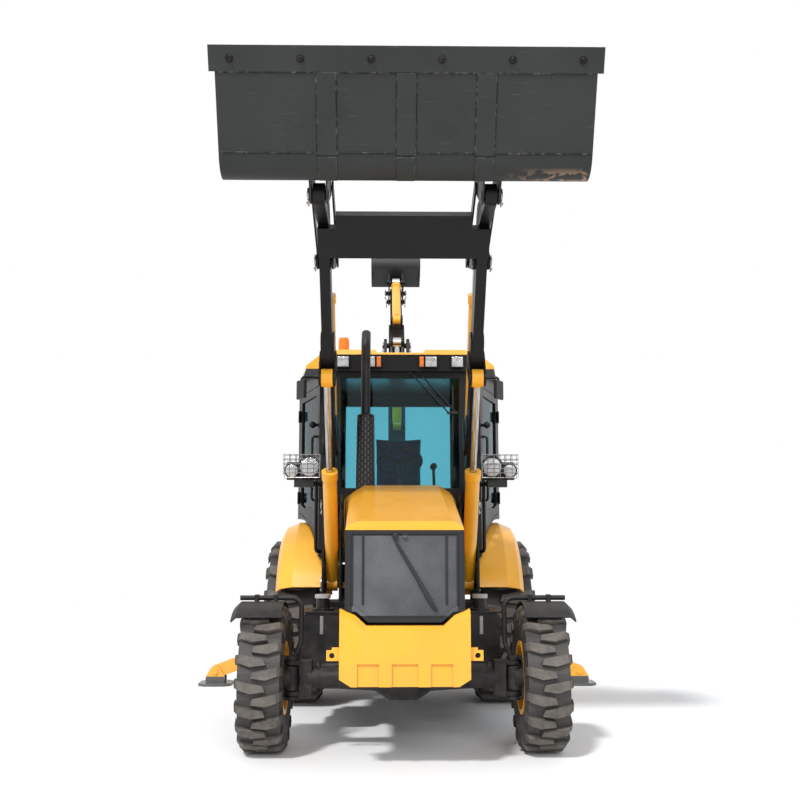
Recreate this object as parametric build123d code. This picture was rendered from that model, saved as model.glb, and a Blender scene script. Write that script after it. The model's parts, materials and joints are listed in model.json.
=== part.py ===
from build123d import *
import os
from math import atan2, cos, hypot, pi, sin, radians

# Backhoe loader. Millimetres, +Z up, +Y rearwards, +X to the right as seen from in front.
# While it is built, Y = 0 is the front axle; export() then shifts everything so that the
# middle of the machine's length lies over the origin. Stations in the side view are (Y, Z) pairs.

# ---- driving dimensions ----
LENGTH_MID_Y = 2118.07           # middle of the overall length, measured from the front axle
WHEELBASE = 2200.0
GAP = 0.2                        # left between pieces of one body that bear on each other

FRONT_TYRE = dict(x=936.0, y=0.0, radius=482.5, width=308.0, rim=232.0, lugs=18, lug=24.0)
REAR_TYRE = dict(x=915.0, y=WHEELBASE, radius=705.0, width=470.0, rim=360.0, lugs=18, lug=34.0)
AXLE_Z = FRONT_TYRE["radius"]
KINGPIN_X = 760.0

ARM_X = 555.0                    # middle plane of each loader arm
ARM_WIDTH = 76.0
ARM_PIVOT = (1200.0, 1700.0)
ARM_KNEE = (-300.0, 3650.0)
BUCKET_PIN = (-800.0, 3630.0)
LEVER_PIVOT = (-99.0, 3388.0)
LEVER_TOP = (268.0, 3486.0)
LINK_FRONT = (-510.0, 3780.0)    # upper pin on the loader bucket
TILT_BASE = (936.0, 2330.0)
LIFT_BASE = (1300.0, 1070.0)
LIFT_TIP = (270.0, 2600.0)
LIFT_RAM = dict(barrel=110.0, rod=52.0, eye=66.0, eye_width=84.0)
TILT_RAM = dict(barrel=90.0, rod=48.0, eye=44.0, eye_width=78.0)
HOE_RAM = dict(barrel=100.0, rod=50.0, eye=52.0, eye_width=88.0)
STAB_RAM = dict(barrel=84.0, rod=44.0, eye=40.0, eye_width=50.0)

BUCKET_LIP = (-1430.0, 4330.0)
BUCKET_HEEL = (-1080.0, 3620.0)
BUCKET_HALF = 1150.0
BUCKET_WALL = 14.0
EDGE_HALF = 1185.0               # half width of the cutting edge

SWING_Y = 3520.0                 # kingpost axis
BOOM_PIVOT = (3750.0, 850.0)
BOOM_TIP = (4300.0, 3630.0)
DIPPER_TIP = (5600.0, 4570.0)
BOOM_RAM_BASE = (3400.0, 1250.0)
BOOM_RAM_TIP = (3815.0, 2367.0)
HOE_HALF = 310.0
HOE_WALL = 14.0

STAB_Y = 3240.0
STAB_PIVOT = (420.0, 620.0)      # (X, Z) in the cross view
STAB_ANKLE = (1800.0, 130.0)
STAB_RAM_BASE = (70.0, 1300.0)

HOOD_FRONT = dict(y=-700.0, half=375.0, shoulder=1500.0, top=1530.0, crown=300.0, bend=48.0)
HOOD_REAR = dict(y=700.0, half=400.0, shoulder=1762.0, top=1832.0, crown=285.0, bend=80.0)
GRILLE_TOP = 1474.0              # lower edge of the hood's front lip
GRILLE_DEPTH = 62.0              # how far the grille's moulding wraps round the sides
HOOD_LOW = 985.0
HOOD_HINGE = (660.0, 1840.0)     # (Y, Z) of the hood hinge line
EXHAUST = (-280.0, 790.0)        # (X, Y) of the upright exhaust

CAB_FLOOR_Z = 1230.0
CAB_TOP_Z = 2860.0
CAB_WALL = 45.0
CAB_PLAN = ((560, 1440), (690, 1500), (930, 2280), (900, 2960))   # one half, X and Y
WINDSCREEN = dict(half=505.0, low=1850.0, high=2790.0)
REAR_WINDOW = dict(half=520.0, low=1700.0, high=2740.0)
ARCH_RADIUS = 905.0              # wheel arch in the cab's side
ARCH_WALL_X = 640.0              # where the arch ends inwards


# ---- small helpers ----
def export(name, shape):
    """Write one node, moved so that the machine's middle is over the origin."""
    export_step(Pos(0, -LENGTH_MID_Y, 0) * shape, f"parts/{name}.step")


def block(x0, x1, y0, y1, z0, z1):
    """Box between two corners."""
    corner = Pos(min(x0, x1), min(y0, y1), min(z0, z1))
    return corner * Box(abs(x1 - x0), abs(y1 - y0), abs(z1 - z0), align=(Align.MIN, Align.MIN, Align.MIN))


def soft_block(x0, x1, y0, y1, z0, z1, radius):
    """Box between two corners with all its edges rounded."""
    body = block(x0, x1, y0, y1, z0, z1)
    return fillet(body.edges(), radius)


def post(x, y, z0, z1, radius):
    """Upright cylinder between two heights."""
    return Pos(x, y, z0) * Cylinder(radius, z1 - z0, align=(Align.CENTER, Align.CENTER, Align.MIN))


def side_plate(points, x0, x1):
    """Closed outline of (Y, Z) stations, extruded across the machine from x0 to x1."""
    outline = make_face(Polyline(*points, close=True))
    return extrude(Plane.YZ.offset(x0) * outline, x1 - x0)


def cross_plate(points, y0, y1):
    """Closed outline of (X, Z) stations, extruded along the machine from y0 to y1."""
    outline = make_face(Polyline(*points, close=True))
    return extrude(Plane(origin=(0, y0, 0), x_dir=(1, 0, 0), z_dir=(0, -1, 0)) * outline, -(y1 - y0))


def plan_plate(points, z0, z1):
    """Closed outline of (X, Y) stations, extruded upwards."""
    outline = make_face(Polyline(*points, close=True))
    return extrude(Pos(0, 0, z0) * outline, z1 - z0)


def bent_sheet(stations, radii, wall, half):
    """Sheet of even thickness that follows (Y, Z) stations with rounded bends, across the machine."""
    path = Wire(FilletPolyline(*stations, radius=radii).edges())
    outline = path.offset_2d(wall, side=Side.RIGHT, closed=True)
    return extrude(Plane.YZ.offset(-half) * make_face(outline.edges()), 2 * half)


def bent_tube(points, radius, bend):
    """Round bar along straight runs joined by equal bends."""
    path = FilletPolyline(*points, radius=bend)
    section = Plane(origin=path @ 0, z_dir=path % 0) * Circle(radius)
    return sweep(section, path=path)


def pin_x(station, radius, x0, x1):
    """Cylinder along X through a (Y, Z) station."""
    plane = Plane(origin=(x0, station[0], station[1]), z_dir=(1, 0, 0))
    return plane * Cylinder(radius, x1 - x0, align=(Align.CENTER, Align.CENTER, Align.MIN))


def pin_y(station, radius, y0, y1):
    """Cylinder along Y through an (X, Z) station."""
    plane = Plane(origin=(station[0], y0, station[1]), z_dir=(0, 1, 0))
    return plane * Cylinder(radius, y1 - y0, align=(Align.CENTER, Align.CENTER, Align.MIN))


def rod(a, b, radius):
    """Cylinder between two points in space."""
    a = Vector(a)
    b = Vector(b)
    plane = Plane(origin=a, z_dir=b - a)
    return plane * Cylinder(radius, (b - a).length, align=(Align.CENTER, Align.CENTER, Align.MIN))


def along(a, b, distance, offset=0.0):
    """Station at a distance from a towards b, moved sideways to the left of that way."""
    length = hypot(b[0] - a[0], b[1] - a[1])
    u = ((b[0] - a[0]) / length, (b[1] - a[1]) / length)
    return (a[0] + u[0] * distance - u[1] * offset, a[1] + u[1] * distance + u[0] * offset)


def polar(centre, radius, angle):
    """Station at a radius and an angle in degrees round a centre."""
    return (centre[0] + radius * cos(radians(angle)), centre[1] + radius * sin(radians(angle)))


def taper_outline(a, ra, b, rb):
    """Face of a link plate: two round ends of their own radius joined by their tangents."""
    length = hypot(b[0] - a[0], b[1] - a[1])
    way = atan2(b[1] - a[1], b[0] - a[0])
    lean = atan2(ra - rb, (length ** 2 - (ra - rb) ** 2) ** 0.5)

    def on(centre, radius, angle):
        return (centre[0] + radius * cos(angle), centre[1] + radius * sin(angle))

    left = way + pi / 2 - lean
    right = way - pi / 2 + lean
    edges = [
        Line(on(a, ra, left), on(b, rb, left)),
        ThreePointArc(on(b, rb, left), on(b, rb, way), on(b, rb, right)),
        Line(on(b, rb, right), on(a, ra, right)),
        ThreePointArc(on(a, ra, right), on(a, ra, way + pi), on(a, ra, left)),
    ]
    return make_face(edges)


def link_plate(a, ra, b, rb, x0, x1):
    """Link plate in the side view, from x0 to x1."""
    return extrude(Plane.YZ.offset(x0) * taper_outline(a, ra, b, rb), x1 - x0)


def cross_link(a, ra, b, rb, y0, y1):
    """Link plate in the cross view, from y0 to y1."""
    plane = Plane(origin=(0, y0, 0), x_dir=(1, 0, 0), z_dir=(0, -1, 0))
    return extrude(plane * taper_outline(a, ra, b, rb), y0 - y1)


def flipped(shape):
    """Mirror image across the machine's middle plane."""
    return mirror(shape, about=Plane.YZ)


def both_sides(*shapes):
    """Solids and their mirror images across the machine's middle plane, as one compound."""
    solids = []
    for shape in shapes:
        solids += list(shape.solids()) + list(flipped(shape).solids())
    return Compound(children=solids)


def pair(shape, centre_x):
    """The shape and its mirror image across the plane X = centre_x."""
    return shape + mirror(shape, about=Plane.YZ.offset(centre_x))


def ram_barrel(base, tip, size, closed, centre_x=0.0):
    """Cylinder barrel in the side view, pinned at its base and open at its gland."""
    gland = (centre_x, *along(base, tip, closed))
    shell = rod((centre_x, *along(base, tip, size["eye"] * 0.7)), gland, size["barrel"] / 2)
    collar = rod((centre_x, *along(base, tip, closed - 70)), gland, size["barrel"] / 2 + 8)
    bore_start = (centre_x, *along(base, tip, size["eye"] + 25))
    bore = rod(bore_start, (centre_x, *along(base, tip, closed + 5)), size["rod"] / 2 + 2)
    half = size["eye_width"] / 2
    eye = pin_x(base, size["eye"], centre_x - half, centre_x + half)
    return (shell + collar + eye) - bore


def ram_rod(base, tip, size, start, centre_x=0.0):
    """Piston rod from inside the barrel to its eye, with the eye's short pin."""
    half = size["eye_width"] / 2
    shaft = rod((centre_x, *along(base, tip, start)), (centre_x, *tip), size["rod"] / 2)
    return shaft + pin_x(tip, size["eye"], centre_x - half, centre_x + half)


# ---- wheels ----
# One lug in plan, for a tyre 2 units wide: hooked from its shoulder to past the middle of the tread.
LUG_PLAN = ((-1.00, 0.30), (-1.00, -0.04), (-0.32, -0.26), (0.30, -0.18), (0.22, 0.06))
LUG_SINK = 24.0                  # how far a lug runs down into the carcass
RIM_FIT = 0.6                    # slack between a tyre and its rim
TYRE_SIDES = 36                  # flats round the carcass, one under each lug


def tread_lug(size):
    """Hooked lug at the top of a tyre, flat across the tread and falling away at its shoulder."""
    half = size["width"] / 2
    reach = max(abs(v * half) for u, v in LUG_PLAN)
    tip = (size["radius"] ** 2 - reach ** 2) ** 0.5
    root = size["radius"] - size["lug"] - LUG_SINK
    bar = plan_plate([(u * half, v * half) for u, v in LUG_PLAN], root - 60, tip)
    side = [(-half, root - 60), (-half, tip - half * 0.25), (-half * 0.78, tip), (half * 0.4, tip),
            (half * 0.4, root), (-half * 0.8, root)]
    return bar & cross_plate(side, -half, half)


def tyre_ring(radius, x):
    """One ring of the carcass, a polygon that stands across the wheel's axis."""
    return Plane(origin=(x, 0, 0), x_dir=(0, 1, 0), z_dir=(1, 0, 0)) * RegularPolygon(radius, TYRE_SIDES)


def tyre(size):
    """Carcass lofted through polygon rings, with lugs from each shoulder that meet in a chevron."""
    half = size["width"] / 2
    tread = size["radius"] - size["lug"]
    bead = size["rim"]
    wall = tread - bead
    rows = [(half * 0.78, bead + 4), (half * 0.98, bead + wall * 0.5), (half * 0.88, bead + wall * 0.96)]
    rings = [tyre_ring(radius, -x) for x, radius in rows]
    rings += [tyre_ring(radius, x) for x, radius in reversed(rows)]
    carcass = loft(rings, ruled=True) - pin_x((0, 0), bead + RIM_FIT, -half, half)
    lug = tread_lug(size)
    other = mirror(lug, about=Plane.YZ)
    pitch = 360 / size["lugs"]
    lugs = []
    for i in range(size["lugs"]):
        lugs.append(Rot(pitch * i, 0, 0) * lug)
        lugs.append(Rot(pitch * (i + 0.5), 0, 0) * other)
    return carcass.fuse(*lugs)


def rim(size, dish):
    """Rim barrel with flanges, a dished disc and a hub, outer side towards +X."""
    half = size["width"] / 2 * 0.78
    bead = size["rim"]
    flange = bead + 12
    barrel = [(-half - 16, flange), (-half - 7, flange), (-half - 7, bead), (half + 7, bead),
              (half + 7, flange), (half + 16, flange), (half + 16, bead - 18), (-half - 16, bead - 18)]
    body = revolve(make_face(Polyline(*barrel, close=True)), Axis.X)
    disc = [(dish, 0), (dish, bead * 0.5), (dish + 55, bead * 0.72), (dish + 40, bead - 15),
            (dish + 52, bead - 15), (dish + 68, bead * 0.72), (dish + 14, bead * 0.5), (dish + 14, 0)]
    body += revolve(make_face(Polyline(*disc, close=True)), Axis.X)
    return body + pin_x((0, 0), bead * 0.3, dish, dish + 60)


def build_wheels():
    """Four tyres and four rims; the right-hand ones are mirror images."""
    wheels = (("front", FRONT_TYRE, 25.0), ("rear", REAR_TYRE, 20.0))   # name, tyre, dish of the disc
    for name, size, dish in wheels:
        spot = Pos(size["x"], size["y"], size["radius"])
        for node, shape in ((f"tyre_{name}", spot * tyre(size)), (f"rim_{name}", spot * rim(size, dish))):
            export(f"{node}_left", shape)
            export(f"{node}_right", flipped(shape))


# ---- axles and steering ----
OSCILLATION = (0, AXLE_Z + 115)  # (X, Z) of the front axle's middle pin


def build_front_axle():
    """Cast driven beam with a bulged middle, forked ends round the kingpins and its steering ram."""
    half_profile = [(0, 0), (0, 150), (95, 150), (190, 88), (560, 66), (650, 72), (650, 0)]
    half_beam = Pos(0, 0, AXLE_Z) * revolve(make_face(Polyline(*half_profile, close=True)), Axis.X)
    half_beam += block(620, 700, -60, 60, AXLE_Z - 118, AXLE_Z + 118)
    for z in (AXLE_Z + 88, AXLE_Z - 118):
        half_beam += block(690, KINGPIN_X, -45, 45, z, z + 30)
        half_beam += post(KINGPIN_X, 0, z, z + 30, 45)
    ram_y = -256
    ram_z = AXLE_Z + 118
    half_beam += block(150, 180, ram_y - 20, -40, AXLE_Z - 30, AXLE_Z + 40)
    half_beam += block(150, 180, ram_y - 20, ram_y + 20, AXLE_Z, ram_z)
    half_beam += rod((0, ram_y, ram_z), (260, ram_y, ram_z), 34)
    half_beam += rod((250, ram_y, ram_z), (560, ram_y, ram_z - 10), 15)
    half_beam += Pos(562, ram_y, ram_z - 10) * Sphere(24)
    beam = half_beam + flipped(half_beam)
    beam += pin_y(OSCILLATION, 62, -168, 168)
    beam += block(-70, 70, -120, 120, AXLE_Z + 60, AXLE_Z + 130)
    beam -= pin_y(OSCILLATION, 30.3, -180, 180)
    export("front_axle", beam)


FENDER_RADIUS = FRONT_TYRE["radius"] + 22
FENDER_WALL = 7.0
FENDER_REAR = 20.0               # degrees above the level line, behind the axle
FENDER_SWEEP = 104.0
STAY_RADIUS = 17.0


def build_knuckles():
    """Steering knuckles with their spindles, and the fender each carries on a bent tube."""
    x = KINGPIN_X
    body = post(x, 0, AXLE_Z - 80, AXLE_Z + 80, 52)
    body += pin_x((0, AXLE_Z), 70, x, FRONT_TYRE["x"] + 22)
    body += block(x + 48, x + 92, -38, 38, AXLE_Z - 144, AXLE_Z + 144)
    for z in (AXLE_Z - 144, AXLE_Z + 122):
        body += post(x, 0, z, z + 22, 50)
        body += block(x, x + 92, -38, 38, z, z + 22)
    inner = FENDER_RADIUS
    outer = FENDER_RADIUS + FENDER_WALL
    section = [(812, inner), (1108, inner), (1142, inner - 34), (1150, inner - 30), (1112, outer),
               (812, outer)]
    shell = revolve(make_face(Polyline(*section, close=True)), Axis.X, FENDER_SWEEP)
    fender = Pos(0, 0, AXLE_Z) * Rot(FENDER_REAR, 0, 0) * shell
    stay_y = 30
    stay_z = AXLE_Z + outer + STAY_RADIUS + 6
    knee = AXLE_Z + 230
    run = [(x - 15, 0, AXLE_Z + 133), (x - 58, 20, knee), (x - 60, stay_y, stay_z), (1125, stay_y, stay_z)]
    stay = bent_tube(run, STAY_RADIUS, 70)
    for clamp_x in (880, 1010):
        stay += block(clamp_x - 14, clamp_x + 14, stay_y - 26, stay_y + 26, AXLE_Z + outer - 5, stay_z + 22)
    knuckle = body + fender + stay
    export("front_knuckle_left", knuckle)
    export("front_knuckle_right", flipped(knuckle))


def build_rear_axle():
    """Drive axle: round centre case, tapered trumpets and hub drums inside the rear rims."""
    hub_x = REAR_TYRE["x"] + 18
    profile = [(0, 0), (0, 190), (150, 190), (230, 120), (560, 95), (560, 165), (760, 165), (760, 150),
               (hub_x, 150), (hub_x, 0)]
    half_axle = revolve(make_face(Polyline(*profile, close=True)), Axis.X)
    half_axle = Pos(0, WHEELBASE, REAR_TYRE["radius"]) * half_axle
    export("rear_axle", half_axle + flipped(half_axle))


# ---- chassis ----
RAIL_IN = 300.0
RAIL_OUT = 335.0
RAIL_TOP = 880.0
RAIL_TOP_REAR = 930.0
BEARER_TOP = 690.0               # front cross members, under the engine


def build_chassis():
    """Two side rails with cross members, the axle pin and the stools under the cab."""
    rail = side_plate([(-640, 640), (-640, RAIL_TOP), (1440, RAIL_TOP), (1520, RAIL_TOP_REAR),
                       (3050, RAIL_TOP_REAR), (3050, 480), (2560, 480), (2450, 560), (1950, 560),
                       (1700, 480), (700, 480), (420, 640)], RAIL_IN, RAIL_OUT)
    rail -= pin_x((WHEELBASE, REAR_TYRE["radius"]), 122, RAIL_IN - 10, RAIL_OUT + 10)
    frame = rail + flipped(rail)
    members = ((-640, -600, 650, 870), (-215, -175, 545, BEARER_TOP), (175, 215, 545, BEARER_TOP),
               (900, 960, 490, 610), (1500, 1560, 490, 900), (2990, 3050, 500, 920))   # y0, y1, z0, z1
    for y0, y1, z0, z1 in members:
        frame += block(-RAIL_IN, RAIL_IN, y0, y1, z0, z1)
    for y in (1600, 2820):
        stool = block(RAIL_IN - 40, RAIL_OUT + 60, y, y + 90, RAIL_TOP_REAR, CAB_FLOOR_Z - 30)
        stool += post(RAIL_IN + 20, y + 45, CAB_FLOOR_Z - 30, CAB_FLOOR_Z - GAP, 45)
        frame += stool + flipped(stool)
    frame += pin_y(OSCILLATION, 30, -200, 200)
    export("chassis_frame", frame)


def build_towers():
    """Loader tower each side: two cheek plates on a cross beam, with the arm and lift ram pins."""
    outline = [(1080, 880), (1090, 1500), (1130, 1790), (1270, 1790), (1330, 1500), (1430, 1150), (1430, 880)]
    tower = side_plate(outline, ARM_X - 77, ARM_X - 61)
    tower += side_plate(outline, ARM_X + 61, ARM_X + 77)
    tower += block(RAIL_IN, ARM_X + 77, 1080, 1430, RAIL_TOP, RAIL_TOP + 50)
    tower += pin_x(ARM_PIVOT, 30, ARM_X - 83, ARM_X + 83)
    tower += pin_x(LIFT_BASE, 30, ARM_X - 83, ARM_X + 83)
    export("loader_towers", both_sides(tower))


TOW_HOLE = (452.0, 704.0)        # (X, Z) of the hole in each tow ear
TOW_HOLE_RADIUS = 17.0
TOW_EAR_FRONT = -700.0
TOW_EAR_THICK = 30.0


def build_counterweight():
    """Cast block with a V-shaped top, chamfered corners, three pockets and a tow ear each side."""
    outline = [(-405, 565), (-405, 988), (-310, 950), (-240, 886), (240, 886), (310, 950), (405, 988),
               (405, 565), (332, 520), (-332, 520)]
    front = -745
    body = cross_plate(outline, front, -641)
    rim_edges = body.edges().filter_by(lambda e: abs(e.center().Y - front) < 1 and e.center().Z > 700)
    body = chamfer(rim_edges.filter_by(lambda e: e.center().Z > 870), 30)
    for x, half in ((-227, 67), (0, 80), (227, 67)):
        body -= block(x - half, x + half, front - 10, front + 14, 510, 656)
    for side in (-1, 1):
        ear_x = side * TOW_HOLE[0]
        ear = block(side * 395, ear_x, TOW_EAR_FRONT, TOW_EAR_FRONT + TOW_EAR_THICK, 672, 752)
        ear += block(ear_x, ear_x + side * 34, TOW_EAR_FRONT, TOW_EAR_FRONT + TOW_EAR_THICK, 672, 736)
        body += ear - pin_y((ear_x, TOW_HOLE[1]), TOW_HOLE_RADIUS, TOW_EAR_FRONT - 10, TOW_EAR_FRONT + 60)
    export("counterweight", body)


ENGINE_REAR = 560.0


def build_engine():
    """Engine and gearbox as one plain block that sits on the front cross members."""
    body = block(-230, 230, -380, ENGINE_REAR, BEARER_TOP + GAP, 1420)
    body += block(-200, 200, ENGINE_REAR, 1300, 620, 975)
    export("engine_block", body)


# ---- hood, cowl and exhaust ----
def hood_section(inset, at, low, y=None):
    """Crowned hood outline with rounded shoulders, standing at one place along the machine."""
    half = at["half"] - inset
    shoulder = at["shoulder"] - inset
    top = at["top"] - inset
    crown = at["crown"]
    outline = make_face(Polyline((-half, low), (-half, shoulder), (-crown, top), (crown, top),
                                 (half, shoulder), (half, low), close=True))
    shoulders = outline.vertices().filter_by(lambda v: abs(v.Y - shoulder) < 1)
    rounded = fillet(shoulders, at["bend"])
    y = at["y"] if y is None else y
    return Plane(origin=(0, y, 0), x_dir=(1, 0, 0), z_dir=(0, -1, 0)) * rounded


def hood_body(inset, reach, low):
    """Solid under the hood's skin, moved inwards by the inset and longer by the reach at both ends."""
    front = hood_section(inset, HOOD_FRONT, low, HOOD_FRONT["y"] - reach)
    rear = hood_section(inset, HOOD_REAR, low, HOOD_REAR["y"] + reach)
    return loft([front, rear])


def build_hood():
    """Tilting hood: crowned skin with side vents, and the framed grille in its front."""
    front = HOOD_FRONT["y"]
    outer = hood_body(0, 0, HOOD_LOW)
    skin = outer - hood_body(8, 10, HOOD_LOW - 80)
    skin -= block(-500, 500, front - 1, front + GRILLE_DEPTH, 900, GRILLE_TOP)
    skin += outer & block(-400, 400, front, front + 10, GRILLE_TOP, 1600)
    for i in range(7):
        y = 60 + i * 62
        skin -= block(-500, 500, y, y + 26, 1180, 1400)
    export("hood", skin)

    face_y = front + 5
    rim_top = GRILLE_TOP - GAP
    panel = hood_body(9, -5, 800) & block(-400, 400, face_y, face_y + 40, 880, rim_top)
    outline = [(-380, 975), (-380, 1600), (380, 1600), (380, 975), (302, 970), (232, 905), (-232, 905),
               (-302, 970)]
    panel &= cross_plate(outline, face_y - 10, face_y + 60)
    wrap = hood_body(0, 0, HOOD_LOW) - hood_body(10, 10, 900)
    panel += wrap & block(-400, 400, front, front + GRILLE_DEPTH - GAP, HOOD_LOW, rim_top)
    mesh = [(-340, 1006), (-340, 1452), (340, 1452), (340, 1006), (290, 988), (222, 930), (-222, 930),
            (-290, 988)]
    panel -= cross_plate(mesh, front - 10, face_y + 12)
    panel += pin_y((0, 1440), 17, face_y - 8, face_y + 20)
    export("grille", panel)


def build_cowl():
    """Fixed cowl between the hood and the cab, open below."""
    cab_y = CAB_PLAN[0][1] - GAP
    flare = dict(HOOD_REAR, half=470.0, shoulder=1768.0, top=1842.0, crown=330.0)
    start = HOOD_REAR["y"] + 8
    outer = loft([hood_section(0, HOOD_REAR, 1240, start), hood_section(0, flare, 1240, cab_y)])
    inner = loft([hood_section(8, HOOD_REAR, 1200, start - 10), hood_section(8, flare, 1200, cab_y - 8)])
    shell = outer - inner - post(*EXHAUST, 1500, 1900, 75)
    export("cowl", shell)


def build_exhaust():
    """Upright muffler with a tapered guard, an elbow from the engine and a curved tailpipe."""
    x, y = EXHAUST
    elbow = [(-180, ENGINE_REAR + GAP, 1330), (-180, y, 1330), (x, y, 1330), (x, y, 1600)]
    stack = bent_tube(elbow, 36, 45)
    guard = [(0, 1560), (66, 1560), (74, 1600), (74, 1850), (68, 2385), (40, 2400), (0, 2400)]
    stack += Pos(x, y, 0) * revolve(Plane.XZ * make_face(Polyline(*guard, close=True)), Axis.Z)
    tail = [(x, y, 2390), (x, y, 2960), (x, y + 90, 3060)]
    stack += bent_tube(tail, 37, 110)
    export("exhaust_stack", stack)


# ---- cab ----
def cab_polygon(inset=0.0):
    """Plan of the cab, both halves, moved inwards by the inset."""
    right = list(CAB_PLAN)
    left = [(-x, y) for x, y in reversed(CAB_PLAN)]
    face = make_face(Polyline(*(right + left), close=True))
    return offset(face, amount=-inset, kind=Kind.INTERSECTION) if inset else face


def cab_space():
    """The cab's outside with the gap that fittings leave to it."""
    return extrude(cab_polygon(-GAP), CAB_TOP_Z)


DOOR_FRONT = Vector(*CAB_PLAN[1], 0)
DOOR_REAR = Vector(*CAB_PLAN[2], 0)
DOOR_WAY = (DOOR_REAR - DOOR_FRONT).normalized()
DOOR_OUT = DOOR_WAY.cross(Vector(0, 0, 1))
DOOR_WALL = (DOOR_REAR - DOOR_FRONT).length
DOOR_HINGE = DOOR_FRONT + DOOR_WAY * (DOOR_WALL - 53) + DOOR_OUT * 8
DOOR_THICK = 34.0


def door_opening(grow):
    """Plane and outline of the door's opening in the cab wall, moved outwards all round by grow."""
    plane = Plane(origin=DOOR_FRONT, x_dir=DOOR_WAY, z_dir=DOOR_OUT)
    front = 40 - grow
    rear = DOOR_WALL - 50 + grow
    low = 1275 - grow
    outline = Polyline((front, low), (front, 2740 + grow), (rear, 2740 + grow), (rear, 1660 - grow),
                       (460, 1600 - grow), (250, 1470 - grow), (150, low), close=True)
    return plane, make_face(outline)


def wheel_arch():
    """Space over the rear wheel that is cut out of the cab's side."""
    round_part = pin_x((WHEELBASE, REAR_TYRE["radius"]), ARCH_RADIUS, ARCH_WALL_X, 1200)
    flat_part = block(ARCH_WALL_X, 1200, WHEELBASE, 3100, 700, REAR_TYRE["radius"] + ARCH_RADIUS)
    return round_part + flat_part


def build_cab_frame():
    """Hollow cab shell with windows, doorways and wheel arches cut, and the visor over the windscreen."""
    outer = extrude(Pos(0, 0, CAB_FLOOR_Z) * cab_polygon(), CAB_TOP_Z - CAB_FLOOR_Z)
    inner = extrude(Pos(0, 0, CAB_FLOOR_Z + 30) * cab_polygon(CAB_WALL), CAB_TOP_Z)
    frame = outer - inner
    wall_in = ARCH_WALL_X - 30
    lining = pin_x((WHEELBASE, REAR_TYRE["radius"]), ARCH_RADIUS + 25, wall_in, 1000)
    lining += block(wall_in, 1000, WHEELBASE, 2960, CAB_FLOOR_Z, REAR_TYRE["radius"] + ARCH_RADIUS + 25)
    lining &= outer
    frame += lining + flipped(lining)
    arch = wheel_arch()
    plane, outline = door_opening(0)
    doorway = extrude(plane * outline, 200, both=True)
    side_window = block(700, 1100, 2400, 2830, 1800, 2740)
    for cut in (arch, doorway, side_window):
        frame -= cut
        frame -= flipped(cut)
    screen = WINDSCREEN
    frame -= block(-screen["half"], screen["half"], 1300, 1600, screen["low"], screen["high"])
    back = REAR_WINDOW
    frame -= block(-back["half"], back["half"], 2850, 3100, back["low"], back["high"])
    frame += VISOR
    export("cab_frame", frame)


VISOR_HALF = 610.0
VISOR_FRONT = 1392.0
VISOR_TOP = 2985.0
VISOR = block(-VISOR_HALF, VISOR_HALF, VISOR_FRONT, 1500, CAB_TOP_Z - 18, VISOR_TOP)


def build_glass():
    """Fixed panes: windscreen, rear window and the side window behind each door."""
    ring = extrude(cab_polygon(18), 3000) - extrude(cab_polygon(24), 3000)
    screen = WINDSCREEN
    back = REAR_WINDOW
    panes = [
        ring & block(-screen["half"], screen["half"], 1400, 1520, screen["low"], screen["high"]),
        ring & block(-back["half"], back["half"], 2900, 3000, back["low"], back["high"]),
    ]
    side = ring & block(700, 1100, 2400, 2830, 1800, 2740)
    panes += [side, flipped(side)]
    export("cab_glass", Compound(children=[solid for pane in panes for solid in pane.solids()]))


KNOB_Z = 2400.0                  # height of the door's catch knob


def build_doors():
    """Rear-hinged doors with their windows, a round catch knob and an upright pull bar."""
    plane, outline = door_opening(-6)
    window_plane, window = door_opening(-75)
    upper = block(600, 1100, 1400, 2400, 1700, 2680)
    hole = extrude(window_plane * window, 100, both=True) & upper
    door = extrude(plane * outline, -DOOR_THICK) - hole - wheel_arch()
    rail_at = DOOR_FRONT + DOOR_WAY * 80
    top = rail_at + Vector(0, 0, 2300)
    low = rail_at + Vector(0, 0, 1750)
    out = DOOR_OUT * 42
    door += bent_tube([low - out * 0.3, low + out, top + out, top - out * 0.3], 11, 25)
    knob = rail_at + Vector(0, 0, KNOB_Z)
    door += rod(knob - out * 0.3, knob + out, 13)
    door += Pos(*(knob + out)) * Sphere(30)
    pane = extrude(window_plane.offset(-20) * window, 6) & upper
    for name, solid in (("door", door), ("door_glass", pane)):
        export(f"{name}_left", solid)
        export(f"{name}_right", flipped(solid))


# Roof rings from the bottom up: height, inset at the sides and rear, inset at the front.
ROOF_RINGS = ((CAB_TOP_Z + GAP, 0, 0), (2888, 0, 0), (2985, 120, 4), (3030, 250, 22))
ROOF_HALF = ((800, 1385), (930, 2300), (900, 3020))   # one half of the widest ring, X and Y
ROOF_DIP_HALF = 195.0


def roof_ring(height, inset, front_inset):
    """One closed plan ring of the roof."""
    half = []
    for x, y in ROOF_HALF:
        y_in = front_inset if y < 2000 else (-inset * 0.5 if y > 3000 else 0)
        half.append((x - inset, y + y_in))
    ring = half + [(-x, y) for x, y in reversed(half)]
    return Pos(0, 0, height) * make_face(Polyline(*ring, close=True))


def build_roof():
    """Crowned roof cap with a shallow middle channel, open at the front for the visor."""
    cap = loft([roof_ring(*ring) for ring in ROOF_RINGS], ruled=True)
    cap -= block(-VISOR_HALF - GAP, VISOR_HALF + GAP, 1300, 1500 + GAP, 2800, VISOR_TOP + GAP)
    half = ROOF_DIP_HALF
    cap -= cross_plate([(-half, 3004), (half, 3004), (half + 30, 3040), (-half - 30, 3040)], 1300, 3100)
    export("cab_roof", cap)


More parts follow.
